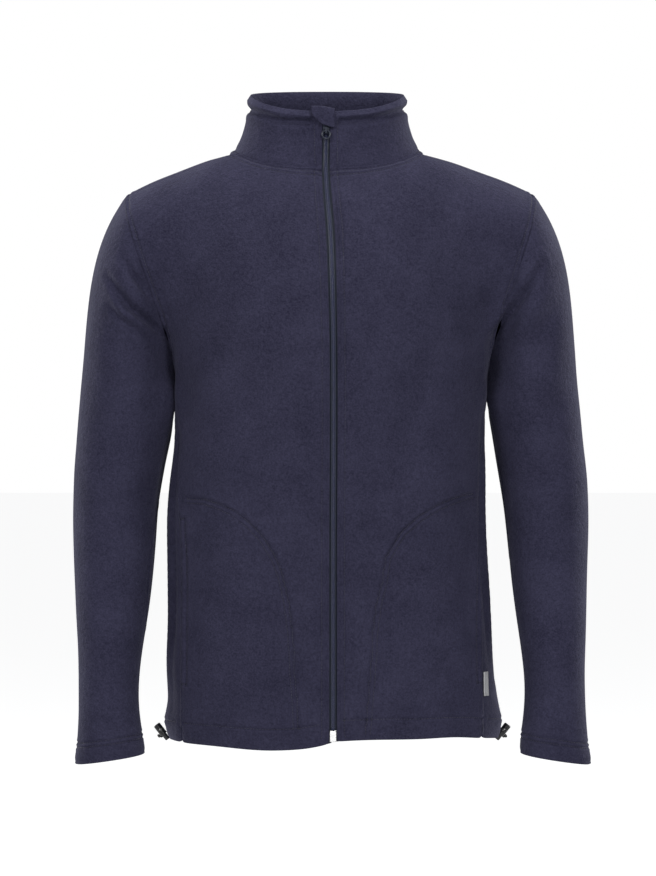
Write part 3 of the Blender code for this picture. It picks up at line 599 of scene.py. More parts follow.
class Form:
    """The jacket's outer form, which marks are laid on."""

    def __init__(self, nodes: list[str]) -> None:
        """Gather the panels' solids into one search tree.

        Args:
            nodes: CAD nodes of the cloth.
        """
        points, faces = [], []
        for name in nodes:
            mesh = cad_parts[name].data
            start = len(points)
            points += [v.co[:] for v in mesh.vertices]
            faces += [tuple(start + i for i in p.vertices) for p in mesh.polygons]
        self.tree = surface_tree(points, faces)

    def lay(self, marks: list[tuple[float, float]], view: View, step: float = 0.004) -> Points:
        """Lay a marked line on the form.

        Args:
            marks: Pairs of places: (x, z) on the middle plane seen from the front or back,
                (y, z) from the middle out to a side.
            view: Side it is seen from.
            step: Distance between the points given back.

        Returns:
            Points on the form's outside.
        """
        flat = np.array(marks, float)
        flat = evenly(np.stack([flat[:, 0], np.zeros(len(flat)), flat[:, 1]], axis=1), step)
        laid = []
        for a, _, z in flat:
            if view is View.FRONT:
                start, aim = np.array(EYE), np.array((a, 0.0, z)) - EYE
            elif view is View.BACK:
                start, aim = np.array((a, 1.0, z)), np.array((0.0, -1.0, 0.0))
            else:
                side = 1.0 if view is View.LEFT else -1.0
                start, aim = np.array((0.0, a, z)), np.array((side, 0.0, 0.0))
            hit = self.tree.ray_cast(Vector(start), Vector(unit(aim)))[0]
            if hit is not None:
                through = unit(aim) * CLOTH if view in (View.LEFT, View.RIGHT) else 0.0
                laid.append(np.array(hit) + through)
        return np.array(laid)


@dataclass(frozen=True)
class Fold:
    """One soft fold: its line, how high it stands, how wide it is and which way it goes."""

    marks: tuple[tuple[float, float], ...]
    height: float
    width: float
    relief: Relief = Relief.RIDGE
    view: View = View.FRONT

    def line(self, form: Form) -> Points:
        """The fold's line on the form."""
        return form.lay(list(self.marks), self.view)

    def lift(self, form: Form, places: Points) -> Points:
        """How far the fold moves each place outwards.

        Args:
            form: The form it is laid on.
            places: Places on the cloth.

        Returns:
            Outward distances.
        """
        line = self.line(form)
        if len(line) < 2:
            return np.zeros(len(places))
        away, share = distance_to([line], places, 4.5 * self.width)
        taper = np.sin(np.pi * np.clip(share, 0.02, 0.98)) ** 0.6
        crest = np.exp(-np.abs(away / self.width) ** 1.5)
        foot = 0.30 * np.exp(-(((away - 2.3 * self.width) / (1.1 * self.width)) ** 2))
        return self.relief.value * self.height * taper * (crest - foot)


# ------------------------------------------------------------------ cloth panels
SHARP = math.radians(36)  # faces that meet at more than this belong to different sides
FINE_FOLD = 0.0075  # folds narrower than this get a finer division


class Sewn(Enum):
    """How deep and how wide each kind of line is pressed into the cloth."""

    SEAM = (0.0011, 0.0013)
    POCKET = (0.0018, 0.0015)
    POCKET_INNER = (0.0011, 0.0012)
    MOUTH = (0.0021, 0.0019)
    TACK = (0.0007, 0.0011)
    TACK_FOOT = (0.0003, 0.0011)
    CUFF = (0.0010, 0.0012)
    SLEEVE = (0.0010, 0.0014)
    COLLAR = (0.0010, 0.0013)
    COLLAR_ROLL = (0.0036, 0.0030)


@dataclass
class Groove:
    """A sewn line pressed into the cloth, with or without thread showing in it."""

    line: Points
    kind: Sewn
    thread: bool

    def press(self, places: Points) -> Points:
        """How far the groove presses each place in, with the cloth puffed up a little beside it.

        Args:
            places: Places on the cloth.

        Returns:
            Depths.
        """
        depth, width = self.kind.value
        away, _ = distance_to([self.line], places, 6 * width)
        puff = 0.28 * np.exp(-(((away - 2.6 * width) / (1.3 * width)) ** 2))
        return depth * (np.exp(-((away / width) ** 2)) - puff)


class Panel:
    """A cut fleece piece: a finely divided copy of its solid, creased and grooved."""

    WELD = 2e-5
    PIN_REACH = 0.0045
    PROBE = 0.004
    TURNED_CREASE, ZIP_CREASE, SEAM_CREASE = 0.3, 0.55, 1.0
    FOLD_NEAR, FOLD_EDGE = 0.011, 0.0030
    GROOVE_NEAR, GROOVE_EDGE = 0.0042, 0.0019

    def __init__(self, node: str, levels: int, finish: bpy.types.Material,
                 pins: list[tuple[float, float, float]] = ()) -> None:
        """Copy the solid, find its outer face and divide it.

        Args:
            node: The CAD node.
            levels: Times each face is divided.
            finish: Its material.
            pins: Places where its rim turns a corner to meet its neighbours' seam.
        """
        self.node = node
        self.grooves: list[Groove] = []
        self.corners: list[Points] = []
        self.object = self.copy_solid(levels, finish, pins)
        self.read()

    def copy_solid(self, levels: int, finish: bpy.types.Material, pins: list) -> bpy.types.Object:
        """Copy the CAD solid as smooth quads with creased rims.

        Args:
            levels: Times each face is divided.
            finish: Its material.
            pins: Rim corners.

        Returns:
            The new object, its division applied.
        """
        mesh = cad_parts[self.node].data.copy()
        mesh.name = self.node + "_cloth"
        mesh.materials.clear()
        mesh.materials.append(finish)
        shape = bmesh.new()
        shape.from_mesh(mesh)
        bmesh.ops.remove_doubles(shape, verts=shape.verts, dist=self.WELD)
        bmesh.ops.join_triangles(shape, faces=shape.faces, angle_face_threshold=SHARP,
                                 angle_shape_threshold=math.radians(50))
        regions = self.regions(shape)
        outer = max(set(regions.values()), key=lambda r: sum(
            f.calc_area() for f in shape.faces if regions[f.index] == r and self.shows(f)))
        self.corners = self.find_corners(shape, regions, outer)
        layer = shape.faces.layers.int.new("rim_side")
        creases = shape.edges.layers.float.new("crease_edge")
        corners = shape.verts.layers.float.new("crease_vert")
        for face in shape.faces:
            face[layer] = int(regions[face.index] != outer)
            face.smooth = True
        for edge in shape.edges:
            around = {regions[f.index] for f in edge.link_faces}
            if len(around) > 1:
                edge[creases] = self.crease((edge.verts[0].co + edge.verts[1].co) / 2)
        for vert in shape.verts:
            for pin in pins:
                if (vert.co - Vector(pin)).length < self.PIN_REACH:
                    vert[corners] = 1.0
        shape.to_mesh(mesh)
        shape.free()
        made = link_new(self.node + "_cloth", mesh)
        divide(made, levels)
        return made

    def shows(self, face: bmesh.types.BMFace) -> bool:
        """Whether a face can be the outer one; the collar's must look away from the neck."""
        return self.node != "collar" or face.calc_center_median().xy.dot(face.normal.xy) > 0

    @staticmethod
    def regions(shape: bmesh.types.BMesh) -> dict[int, int]:
        """Number the faces that meet without a sharp edge.

        Args:
            shape: The mesh.

        Returns:
            Region by face index.
        """
        shape.faces.index_update()
        found: dict[int, int] = {}
        for seed in shape.faces:
            if seed.index in found:
                continue
            found[seed.index] = seed.index
            waiting = [seed]
            while waiting:
                face = waiting.pop()
                for edge in face.edges:
                    if len(edge.link_faces) == 2 and edge.calc_face_angle() < SHARP:
                        for other in edge.link_faces:
                            if other.index not in found:
                                found[other.index] = seed.index
                                waiting.append(other)
        return found

    @staticmethod
    def find_corners(shape: bmesh.types.BMesh, regions: dict[int, int], outer: int) -> list[Points]:
        """Places where three rims of the outer face's edge meet.

        Args:
            shape: The coarse mesh.
            regions: Region by face index.
            outer: The outer region.

        Returns:
            Corner places.
        """
        found = []
        for vert in shape.verts:
            around = {regions[f.index] for f in vert.link_faces}
            if len(around) > 2 and outer in around:
                found.append(np.array(vert.co))
        return found

    def corner(self, near: tuple[float, float, float]) -> Points:
        """The corner of the cut nearest a place."""
        return min(self.corners, key=lambda c: float(np.linalg.norm(c - np.array(near))))

    def crease(self, place: Vector) -> float:
        """How sharp the rim is: soft where cloth is folded back, crisp along a seam."""
        hem = place.z < -0.672 and abs(place.x) < 0.208
        cuff = place.z < -0.69
        zip_edge = abs(place.x) < 0.012 and place.y < -0.05
        return self.TURNED_CREASE if hem or cuff else self.ZIP_CREASE if zip_edge else self.SEAM_CREASE

    def read(self) -> None:
        """Read the fine mesh: places, outer faces, normals and each vertex's outer partner."""
        mesh = self.object.data
        self.places = coordinates(mesh)
        rim = np.zeros(len(mesh.polygons), np.int32)
        mesh.attributes["rim_side"].data.foreach_get("value", rim)
        self.outer_faces = [tuple(p.vertices) for p, r in zip(mesh.polygons, rim) if r == 0]
        self.outer = np.zeros(len(self.places), bool)
        self.outer[np.unique([i for f in self.outer_faces for i in f])] = True
        self.tree = surface_tree(self.places, self.outer_faces)
        self.rim_edges = self.find_rim(mesh, rim)

    @staticmethod
    def find_rim(mesh: bpy.types.Mesh, rim: Points) -> dict[int, list[int]]:
        """Neighbours along the rim of the outer face.

        Args:
            mesh: The fine mesh.
            rim: 0 for each face of the outer side.

        Returns:
            Rim neighbours by vertex.
        """
        sides: dict[tuple[int, int], int] = {}
        for face, side in zip(mesh.polygons, rim):
            if side == 0:
                for key in face.edge_keys:
                    sides[key] = sides.get(key, 0) + 1
        near: dict[int, list[int]] = {}
        for (a, b), count in sides.items():
            if count == 1:
                near.setdefault(a, []).append(b)
                near.setdefault(b, []).append(a)
        return near

    def rim_loop(self, start: Points) -> list[int]:
        """Vertices round the rim loop nearest a place, in order.

        Args:
            start: A place on or by the loop.

        Returns:
            Vertex indices.
        """
        keys = np.array(list(self.rim_edges))
        first = int(keys[np.argmin(np.linalg.norm(self.places[keys] - start, axis=1))])
        loop, last = [first], None
        while True:
            ahead = [v for v in self.rim_edges[loop[-1]] if v != last and v != loop[-1]]
            if not ahead or ahead[0] == first or len(loop) > len(keys):
                return loop
            last = loop[-1]
            loop.append(ahead[0])

    def rim_between(self, start: Points, through: Points, end: Points) -> Points:
        """Rim points from one corner to another by way of a third place.

        Args:
            start: First corner.
            through: A place between them.
            end: Last corner.

        Returns:
            The rim's points.
        """
        loop = self.rim_loop(np.array(start, float))
        ring = self.places[loop]
        at = [int(np.argmin(np.linalg.norm(ring - np.array(p, float), axis=1)))
              for p in (start, through, end)]
        count = len(ring)
        ahead = [(k - at[0]) % count for k in at]
        if ahead[1] <= ahead[2]:
            return ring[[(at[0] + k) % count for k in range(ahead[2] + 1)]]
        back = (at[0] - at[2]) % count
        return ring[[(at[0] - k) % count for k in range(back + 1)]]

    def beside(self, line: Points, offset: float, step: float = 0.0025) -> Points:
        """A line on the cloth at an even distance in from its rim.

        Args:
            line: Rim points.
            offset: Distance in from the rim.
            step: Distance between the points given back.

        Returns:
            Points on the outer face.
        """
        dense = evenly(line, step)
        along = unit(np.gradient(dense, axis=0))
        _, normal = nearest(self.tree, dense)
        inward = unit(np.cross(normal, along))
        probe, _ = nearest(self.tree, dense + self.PROBE * inward)
        other, _ = nearest(self.tree, dense - self.PROBE * inward)
        middle = slice(2, -2) if len(dense) > 6 else slice(None)
        gain = np.linalg.norm(probe - dense, axis=1) - np.linalg.norm(other - dense, axis=1)
        if gain[middle].mean() < 0:
            inward = -inward
        return nearest(self.tree, dense + offset * inward)[0]

    def on_cloth(self, line: Points) -> Points:
        """A line moved to the nearest places of the outer face."""
        return nearest(self.tree, line)[0]

    def groove(self, line: Points, kind: Sewn, thread: bool = True) -> None:
        """Press a sewn line into the cloth when the panel is finished.

        Args:
            line: Its points.
            kind: What is sewn there.
            thread: Whether thread shows in it.
        """
        self.grooves.append(Groove(evenly(line, 0.0004), kind, thread))

    def drape(self, form: Form, folds: list[Fold], still: "Stillness", seam_roll: float) -> None:
        """Fold the cloth, press its grooves and roll its sewn edges under.

        Args:
            form: The form the folds are laid on.
            folds: The folds.
            still: Where the cloth is held still.
            seam_roll: How far a sewn edge rolls under.
        """
        creases = [fold.line(form) for fold in folds if fold.width < FINE_FOLD]
        self.divide_beside([line for line in creases if len(line) > 1], self.FOLD_NEAR, self.FOLD_EDGE)
        if self.grooves:
            self.divide_beside([g.line for g in self.grooves], self.GROOVE_NEAR, self.GROOVE_EDGE)
        mesh = self.object.data
        normals = np.zeros(len(mesh.vertices) * 3, np.float32)
        mesh.vertices.foreach_get("normal", normals)
        normals = normals.reshape(-1, 3).astype(float)
        finder = KDTree(int(self.outer.sum()))
        ids = np.flatnonzero(self.outer)
        for i in ids:
            finder.insert(self.places[i], int(i))
        finder.balance()
        partner = np.arange(len(self.places))
        for i in np.flatnonzero(~self.outer):
            partner[i] = finder.find(self.places[i])[1]
        face_normal = self.outer_normals(normals)
        lift = np.zeros(len(self.places))
        for fold in folds:
            lift[ids] += fold.lift(form, self.places[ids])
        lift[ids] *= still.freedom(self.places[ids])
        moved = self.places + face_normal[partner] * lift[partner][:, None]
        moved[ids] -= face_normal[ids] * self.pressed(ids, seam_roll)[:, None]
        mesh.vertices.foreach_set("co", moved.astype(np.float32).ravel())
        mesh.update()
        self.places = moved
        self.tree = surface_tree(self.places, self.outer_faces)

    def outer_normals(self, normals: Points) -> Points:
        """Vertex normals of the outer face alone, so that its rim isn't turned by the edge.

        Args:
            normals: The mesh's own vertex normals.

        Returns:
            The normals, changed at the outer face's vertices.
        """
        made = np.zeros_like(normals)
        for face in self.outer_faces:
            a, b, c = self.places[face[0]], self.places[face[1]], self.places[face[2]]
            n = np.cross(b - a, c - a)
            for i in face:
                made[i] += n
        keep = np.linalg.norm(made, axis=1) > 0
        normals[keep] = unit(made[keep])
        return normals

    def pressed(self, ids: Points, seam_roll: float) -> Points:
        """How far grooves and seams press each outer vertex in.

        Args:
            ids: Outer vertices.
            seam_roll: Depth at a sewn edge.

        Returns:
            Depths.
        """
        depth = np.zeros(len(ids))
        for groove in self.grooves:
            depth += groove.press(self.places[ids])
        away, _ = distance_to([self.places[list(self.rim_edges)]], self.places[ids], 0.012)
        roll = np.exp(-((away / 0.0028) ** 2)) - 0.25 * np.exp(-(((away - 0.007) / 0.0035) ** 2))
        return depth + seam_roll * roll

    def divide_beside(self, lines: list[Points], near: float, longest: float) -> None:
        """Divide the outer faces finely beside creases and sewn lines.

        Args:
            lines: The lines.
            near: How far from them.
            longest: Edges longer than this are halved.
        """
        for _ in range(2):
            away, _ = distance_to(lines, self.places, 0.012)
            shape = bmesh.new()
            shape.from_mesh(self.object.data)
            shape.verts.ensure_lookup_table()
            layer = shape.faces.layers.int["rim_side"]
            cut = []
            for edge in shape.edges:
                a, b = edge.verts[0].index, edge.verts[1].index
                if min(away[a], away[b]) < near + 0.5 * edge.calc_length() \
                        and edge.calc_length() > longest \
                        and all(f[layer] == 0 for f in edge.link_faces):
                    cut.append(edge)
            if cut:
                bmesh.ops.subdivide_edges(shape, edges=cut, cuts=1, use_grid_fill=True)
                wide = [f for f in shape.faces if len(f.verts) > 4]
                bmesh.ops.triangulate(shape, faces=wide)
            shape.to_mesh(self.object.data)
            shape.free()
            self.read()


def divide(made: bpy.types.Object, levels: int) -> None:
    """Apply a subdivision surface.

    Args:
        made: The object.
        levels: Levels, the same in view and render.
    """
    smooth = made.modifiers.new("division", "SUBSURF")
    smooth.levels = smooth.render_levels = levels
    smooth.boundary_smooth = "ALL"
    bpy.ops.object.select_all(action="DESELECT")
    bpy.context.view_layer.objects.active = made
    made.select_set(True)
    bpy.ops.object.modifier_apply(modifier=smooth.name)


class Stillness:
    """Where sewn hardware holds the cloth still."""

    NECK = (-0.004, 0.0, 0.0)
    NECK_REACH = (0.115, 0.092, 0.06)
    LOCKS = ((-0.195, 0.012, -0.679), (0.199, 0.012, -0.679))

    def __init__(self, zip_line: Points) -> None:
        """Note the zip's line.

        Args:
            zip_line: Points down the middle of the zip.
        """
        self.zip_line = zip_line[np.argsort(zip_line[:, 2])]

    def freedom(self, places: Points) -> Points:
        """Share of its fold that each place may take: none at the zip, collar or locks.

        Args:
            places: Places on the cloth.

        Returns:
            Shares from 0 to 1.
        """
        middle = np.interp(places[:, 2], self.zip_line[:, 2], self.zip_line[:, 0])
        front = places[:, 1] < -0.03
        from_zip = np.where(front, np.abs(places[:, 0] - middle), 1.0)
        free = smooth_step((from_zip - 0.012) / 0.05)
        neck = np.linalg.norm((places - np.array(self.NECK)) / self.NECK_REACH, axis=1)
        free *= smooth_step((neck - 1.0) / 0.35)
        lock = np.minimum(*[np.linalg.norm(places - np.array(at), axis=1) for at in self.LOCKS])
        return free * smooth_step((lock - 0.010) / 0.03)


def smooth_step(t: Points) -> Points:
    """Ease from 0 to 1."""
    t = np.clip(t, 0, 1)
    return t * t * (3 - 2 * t)


# ------------------------------------------------------------------ threads
def stitches(name: str, lines: list[tuple[Points, Points]], finish: bpy.types.Material,
             stitch: float = 0.0027, gap: float = 0.0007, thick: float = 0.00026) -> bpy.types.Object:
    """Lockstitch along lines on cloth, every stitch a small capsule sunk at both ends.

    Args:
        name: The object's name.
        lines: Pairs of points and outward normals.
        finish: Thread material.
        stitch: Length of one stitch.
        gap: Space between stitches.
        thick: Radius of the thread.

    Returns:
        One joined object.
    """
    points, faces = [], []
    rings = ((-0.5, 0.35, -0.00030), (-0.36, 1.0, 0.0), (0.36, 1.0, 0.0), (0.5, 0.35, -0.00030))
    sides = 5
    for line, normals in lines:
        length = lengths(line)
        count = int(length[-1] / (stitch + gap))
        for k in range(count):
            at = (k + 0.5) * (stitch + gap)
            ends = [np.array([np.interp(at + s * stitch / 2, length, line[:, i]) for i in range(3)])
                    for s in (-1, 1)]
            i = int(np.searchsorted(length, at))
            n = normals[min(i, len(normals) - 1)]
            along = unit(ends[1] - ends[0])
            across = unit(np.cross(n, along))
            start = len(points)
            for share, width, drop in rings:
                centre = (ends[0] + ends[1]) / 2 + along * share * stitch + n * (drop + 0.5 * thick)
                for s in range(sides):
                    turn = 2 * math.pi * s / sides
                    points.append(centre + thick * width * (math.cos(turn) * across + math.sin(turn) * n))
            faces += [*tube_faces(start, len(rings), sides),
                      tuple(start + s for s in reversed(range(sides))),
                      tuple(start + (len(rings) - 1) * sides + s for s in range(sides))]
    return add_mesh(name, points, faces, finish)


# ------------------------------------------------------------------ zip
@dataclass
class ZipDressing:
    """The zip: two moulded coils that mesh, woven tapes, slider, ring pull and bottom box."""

    pitch: float = 0.0015
    half: float = 0.0029
    wire: float = 0.00056
    line: Points = field(default_factory=lambda: np.zeros((0, 3)))

    def read_line(self) -> None:
        """Find the line down the middle of the chain from its solid."""
        points = coordinates(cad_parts["zip_chain"].data)
        points = points[np.argsort(points[:, 2])]
        rings = np.split(points, np.flatnonzero(np.diff(points[:, 2]) > 0.0035) + 1)
        middles = []
        for ring in rings:
            front = ring[:, 1].min()
            x = (ring[:, 0].min() + ring[:, 0].max()) / 2
            middles.append((x, front, ring[:, 2].mean()))
        self.line = spline(np.array(middles), 0.0005)

    def coils(self, finish: bpy.types.Material, base: bpy.types.Material) -> list[bpy.types.Object]:
        """Mesh two rows of teeth over a dark cord.

        Args:
            finish: Material of the teeth.
            base: Material of the cord under them.

        Returns:
            The teeth and the cord.
        """
        line = evenly(self.line, self.pitch / 2)
        along = unit(np.gradient(line, axis=0))
        out = unit(np.cross(along, np.array((-1.0, 0.0, 0.0))))
        out[out[:, 1] > 0] *= -1
        across = unit(np.cross(along, out))
        points, faces = [], []
        arch = ((-0.97, -0.0011), (-0.72, -0.0007), (-0.20, -0.0001), (0.10, 0.00022), (0.24, -0.0007))
        for k, (p, a, n, x) in enumerate(zip(line, along, out, across)):
            side = 1.0 if k % 2 else -1.0
            start = len(points)
            for i, (share, rise) in enumerate(arch):
                centre = p + x * side * share * self.half + n * (rise - 0.0003) + a * 0.0002 * (i - 2)
                width = self.wire * (1.15 if i == 3 else 1.0)
                for s in range(4):
                    turn = math.pi / 4 + math.pi / 2 * s
                    points.append(centre + width * (math.cos(turn) * a + 0.8 * math.sin(turn) * n))
            faces += [*tube_faces(start, len(arch), 4), tuple(start + s for s in (3, 2, 1, 0)),
                      tuple(start + 4 * (len(arch) - 1) + s for s in range(4))]
        teeth = add_mesh("zip_coil_teeth", points, faces, finish)
        mend(teeth)
        return [teeth, self.bed(line, out, across, base)]

    def bed(self, line: Points, out: Points, across: Points, finish: bpy.types.Material) -> bpy.types.Object:
        """The stitched cord that the coils sit on.

        Args:
            line: The chain's middle line.
            out: Outward directions.
            across: Directions across the zip.
            finish: Its material.

        Returns:
            The bed.
        """
        section = ((-1.0, -0.0016), (-1.0, -0.0010), (-0.78, -0.0006), (-0.55, -0.0011), (0.55, -0.0011),
                   (0.78, -0.0006), (1.0, -0.0010), (1.0, -0.0016))
        points = []
        for p, n, x in zip(line[::4], out[::4], across[::4]):
            points += [p + x * share * self.half + n * rise for share, rise in section]
        sides, count = len(section), len(points) // len(section)
        faces = [*tube_faces(0, count, sides), tuple(range(sides))[::-1],
                 tuple(range((count - 1) * sides, count * sides))]
        made = add_mesh("zip_coil_bed", points, faces, finish)
        mend(made)
        return made


def mend(made: bpy.types.Object) -> None:
    """Merge doubles and turn every face outwards."""
    shape = bmesh.new()
    shape.from_mesh(made.data)
    bmesh.ops.remove_doubles(shape, verts=shape.verts, dist=1e-6)
    bmesh.ops.recalc_face_normals(shape, faces=shape.faces)
    shape.to_mesh(made.data)
    shape.free()


# ------------------------------------------------------------------ hem cords
@dataclass(frozen=True)
class HemCord:
    """The elastic that leaves the hem by the side seam, runs through its lock and ends in a knot."""

    side: Side
    shift: float
    diameter: float = 0.0025
    length: float = 0.038
    knot_radius: float = 0.0036

    ROUTE = ((0.1955, 0.0050, -0.6765), (0.1960, 0.0100, -0.6770), (0.1972, 0.0160, -0.6782),
             (0.1985, 0.0210, -0.6795), (0.1990, 0.0245, -0.6800), (0.1990, 0.0300, -0.6800),
             (0.1990, 0.0352, -0.6800), (0.1995, 0.0378, -0.6808), (0.2001, 0.0395, -0.6825),
             (0.2003, 0.0400, -0.6840))
    KNOT = (0.2003, 0.0402, -0.6880)

    def place(self, point: tuple[float, float, float]) -> Points:
        """A point of the route on this cord's own side."""
        return np.array((self.side.value * (point[0] + self.shift), point[1], point[2]))

    def cord(self, finish: bpy.types.Material) -> bpy.types.Object:
        """The cord as a round curve along its route.

        Args:
            finish: Braid material.

        Returns:
            The curve object.
        """
        control = np.array([self.place(p) for p in self.ROUTE])
        length = lengths(control)
        along = np.linspace(0, length[-1], 22)
        route = np.stack([np.interp(along, length, control[:, k]) for k in range(3)], axis=1)
        route[1:-1] = (route[:-2] + 2 * route[1:-1] + route[2:]) / 4
        curve = bpy.data.curves.new(f"hem_cord_{self.side.word}_braid", "CURVE")
        curve.dimensions, curve.bevel_depth, curve.bevel_resolution = "3D", self.diameter / 2, 4
        curve.use_fill_caps = True
        run = curve.splines.new("POLY")
        run.points.add(len(route) - 1)
        for point, place in zip(run.points, route):
            point.co = (*place, 1.0)
        curve.materials.append(finish)
        return link_new(curve.name, curve)

    def knot(self, finish: bpy.types.Material) -> bpy.types.Object:
        """An overhand knot: a trefoil of the same elastic, drawn tight.

        Args:
            finish: Braid material.

        Returns:
            The knot.
        """
        centre, points = self.place(self.KNOT), []
        steps, sides, scale = 60, 7, self.knot_radius * 0.285
        turn = np.linspace(0, 2 * math.pi, steps, endpoint=False)
        path = np.stack([np.sin(turn) + 2 * np.sin(2 * turn), np.cos(turn) - 2 * np.cos(2 * turn),
                         -1.15 * np.sin(3 * turn)], axis=1) * scale * 0.8
        along = unit(np.roll(path, -1, axis=0) - np.roll(path, 1, axis=0))
        out = unit(path - along * np.sum(path * along, axis=1, keepdims=True))
        across = np.cross(along, out)
        for p, n, x in zip(path, out, across):
            for s in range(sides):
                a = 2 * math.pi * s / sides
                points.append(centre + p + 0.00115 * (math.cos(a) * n + math.sin(a) * x))
        made = add_mesh(f"hem_cord_{self.side.word}_knot", points,
                        tube_faces(0, steps, sides, closed=True), finish)
        mend(made)
        return made

    def build(self, finish: bpy.types.Material) -> None:
        """Make and place the cord and its knot, hiding the CAD cord and knot they stand for."""
        knot = self.knot(finish)
        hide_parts(f"cord_knot_{self.side.word}")
        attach(knot, "jacket")
        cord = self.cord(finish)
        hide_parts(f"hem_cord_{self.side.word}")
        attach(cord, "jacket")
        log.info("hem cord %s: %.0f mm with its knot", self.side.word, 1000 * self.length)


# ------------------------------------------------------------------ studio
@dataclass
class Studio:
    """Pale floor, soft lights and the camera in front of the chest."""

    lens: float = 120.3
    eye: tuple[float, float, float] = EYE
    floor_level: float = -1.15
    floor_reach: float = 40.0
    floor_glow: tuple[float, float] = (0.10, 0.86)
    ambient: float = 0.16

    # Each lamp's name, place, size, power in watts and the height it is aimed at.
    LAMPS = (("key_left", (-1.9, -2.4, 1.6), 0.8, 50.0, -0.33),
             ("fill_right", (1.6, -2.8, 1.5), 0.8, 58.0, -0.33),
             ("top", (0.0, -0.1, 2.3), 0.9, 40.0, -0.33),
             ("low_front", (0.2, -3.0, -0.95), 1.2, 16.0, -0.60),
             ("rim_left", (-2.6, 1.7, 0.3), 1.1, 70.0, -0.33),
             ("rim_right", (2.6, 1.7, 0.3), 1.1, 70.0, -0.33))

    def camera(self) -> None:
        """Stand the camera level in front of the jacket."""
        data = bpy.data.cameras.new("front_camera")
        data.lens, data.sensor_width, data.sensor_fit = self.lens, 36.0, "AUTO"
        data.clip_start, data.clip_end = 0.05, 100.0
        made = link_new("front_camera", data)
        made.location, made.rotation_euler = self.eye, (math.pi / 2, 0.0, 0.0)
        bpy.context.scene.camera = made

    def lamp(self, name: str, place: tuple[float, float, float], size: float, power: float,
             aim: tuple[float, float, float]) -> None:
        """Hang a soft area light.

        Args:
            name: Its name.
            place: Where it hangs.
            size: Side of its square.
            power: Watts.
            aim: Point it is turned to.
        """
        data = bpy.data.lights.new(name, "AREA")
        data.energy, data.size = power, size
        made = link_new(name, data)
        made.location = place
        made.rotation_euler = (Vector(aim) - Vector(place)).to_track_quat("-Z", "Y").to_euler()

    def floor(self) -> None:
        """Lay a wide, pale, plain floor that looks lit but casts little light of its own."""
        size = self.floor_reach
        points = [(-size, -size, self.floor_level), (size, -size, self.floor_level),
                  (size, size, self.floor_level), (-size, size, self.floor_level)]
        pale = bpy.data.materials.new("pale_floor")
        pale.use_nodes = True
        shader = pale.node_tree.nodes["Principled BSDF"]
        shader.inputs["Base Color"].default_value = (0.55, 0.55, 0.55, 1.0)
        shader.inputs["Roughness"].default_value = 0.9
        shader.inputs["Emission Color"].default_value = (1.0, 1.0, 1.0, 1.0)
        path = pale.node_tree.nodes.new("ShaderNodeLightPath")
        glow = pale.node_tree.nodes.new("ShaderNodeMapRange")
        glow.inputs["To Min"].default_value, glow.inputs["To Max"].default_value = self.floor_glow
        pale.node_tree.links.new(path.outputs["Is Camera Ray"], glow.inputs["Value"])
        pale.node_tree.links.new(glow.outputs["Result"], shader.inputs["Emission Strength"])
        made = add_mesh("floor", points, [(0, 1, 2, 3)], pale)

    def build(self) -> None:
        """Set the stage: a room that looks white and fills the shadows with a dimmer light."""
        scene = bpy.context.scene
        scene.view_settings.view_transform = "Standard"
        world = bpy.data.worlds.new("white_room")
        scene.world = world
        world.use_nodes = True
        tree = world.node_tree
        seen = tree.nodes["Background"]
        seen.inputs[0].default_value = (1.0, 1.0, 1.0, 1.0)
        seen.inputs[1].default_value = 1.0
        dim = tree.nodes.new("ShaderNodeBackground")
        dim.inputs[0].default_value = (0.94, 0.96, 1.0, 1.0)
        dim.inputs[1].default_value = self.ambient
        mixed, path = tree.nodes.new("ShaderNodeMixShader"), tree.nodes.new("ShaderNodeLightPath")
        tree.links.new(path.outputs["Is Camera Ray"], mixed.inputs[0])
        tree.links.new(dim.outputs[0], mixed.inputs[1])
        tree.links.new(seen.outputs[0], mixed.inputs[2])
        tree.links.new(mixed.outputs[0], tree.nodes["World Output"].inputs[0])
        self.camera()
        self.floor()
        for name, place, size, power, aim in self.LAMPS:
            self.lamp(name, place, size, power, (0.0, 0.0, aim))
        log.info("studio set")


# ------------------------------------------------------------------ the jacket
NECK_OFFSET = 0.004


def corner_place(name: str, side: Side) -> tuple[float, float, float]:
    """Where a panel's sewn corner lies: neck, tip, underarm or side_hem on one side."""
    x, y, z = {"neck": (0.104, -0.035, -0.0105), "tip": (0.2375, 0.0, -0.057),
               "underarm": (0.1775, 0.0, -0.262), "side_hem": (0.1725, -0.06, -0.685)}[name]
    return side.value * x - (NECK_OFFSET if name == "neck" else 0.0), y, z


# Rows of stitching: how far each lies in from its seam.
EDGE_ROW, SECOND_ROW = 0.0026, 0.0082
SHOULDER_ROW, ARMHOLE_ROW, HEM_ROW = 0.0036, 0.0040, 0.0225
CUFF_ROWS = (0.0170, 0.0222)
MOUTH_ROW, MOUTH_TOP, MOUTH_BOTTOM = 0.0078, -0.430, -0.619
POCKET_ROWS_APART = 0.0058
SEAM_ROLL = 0.0006

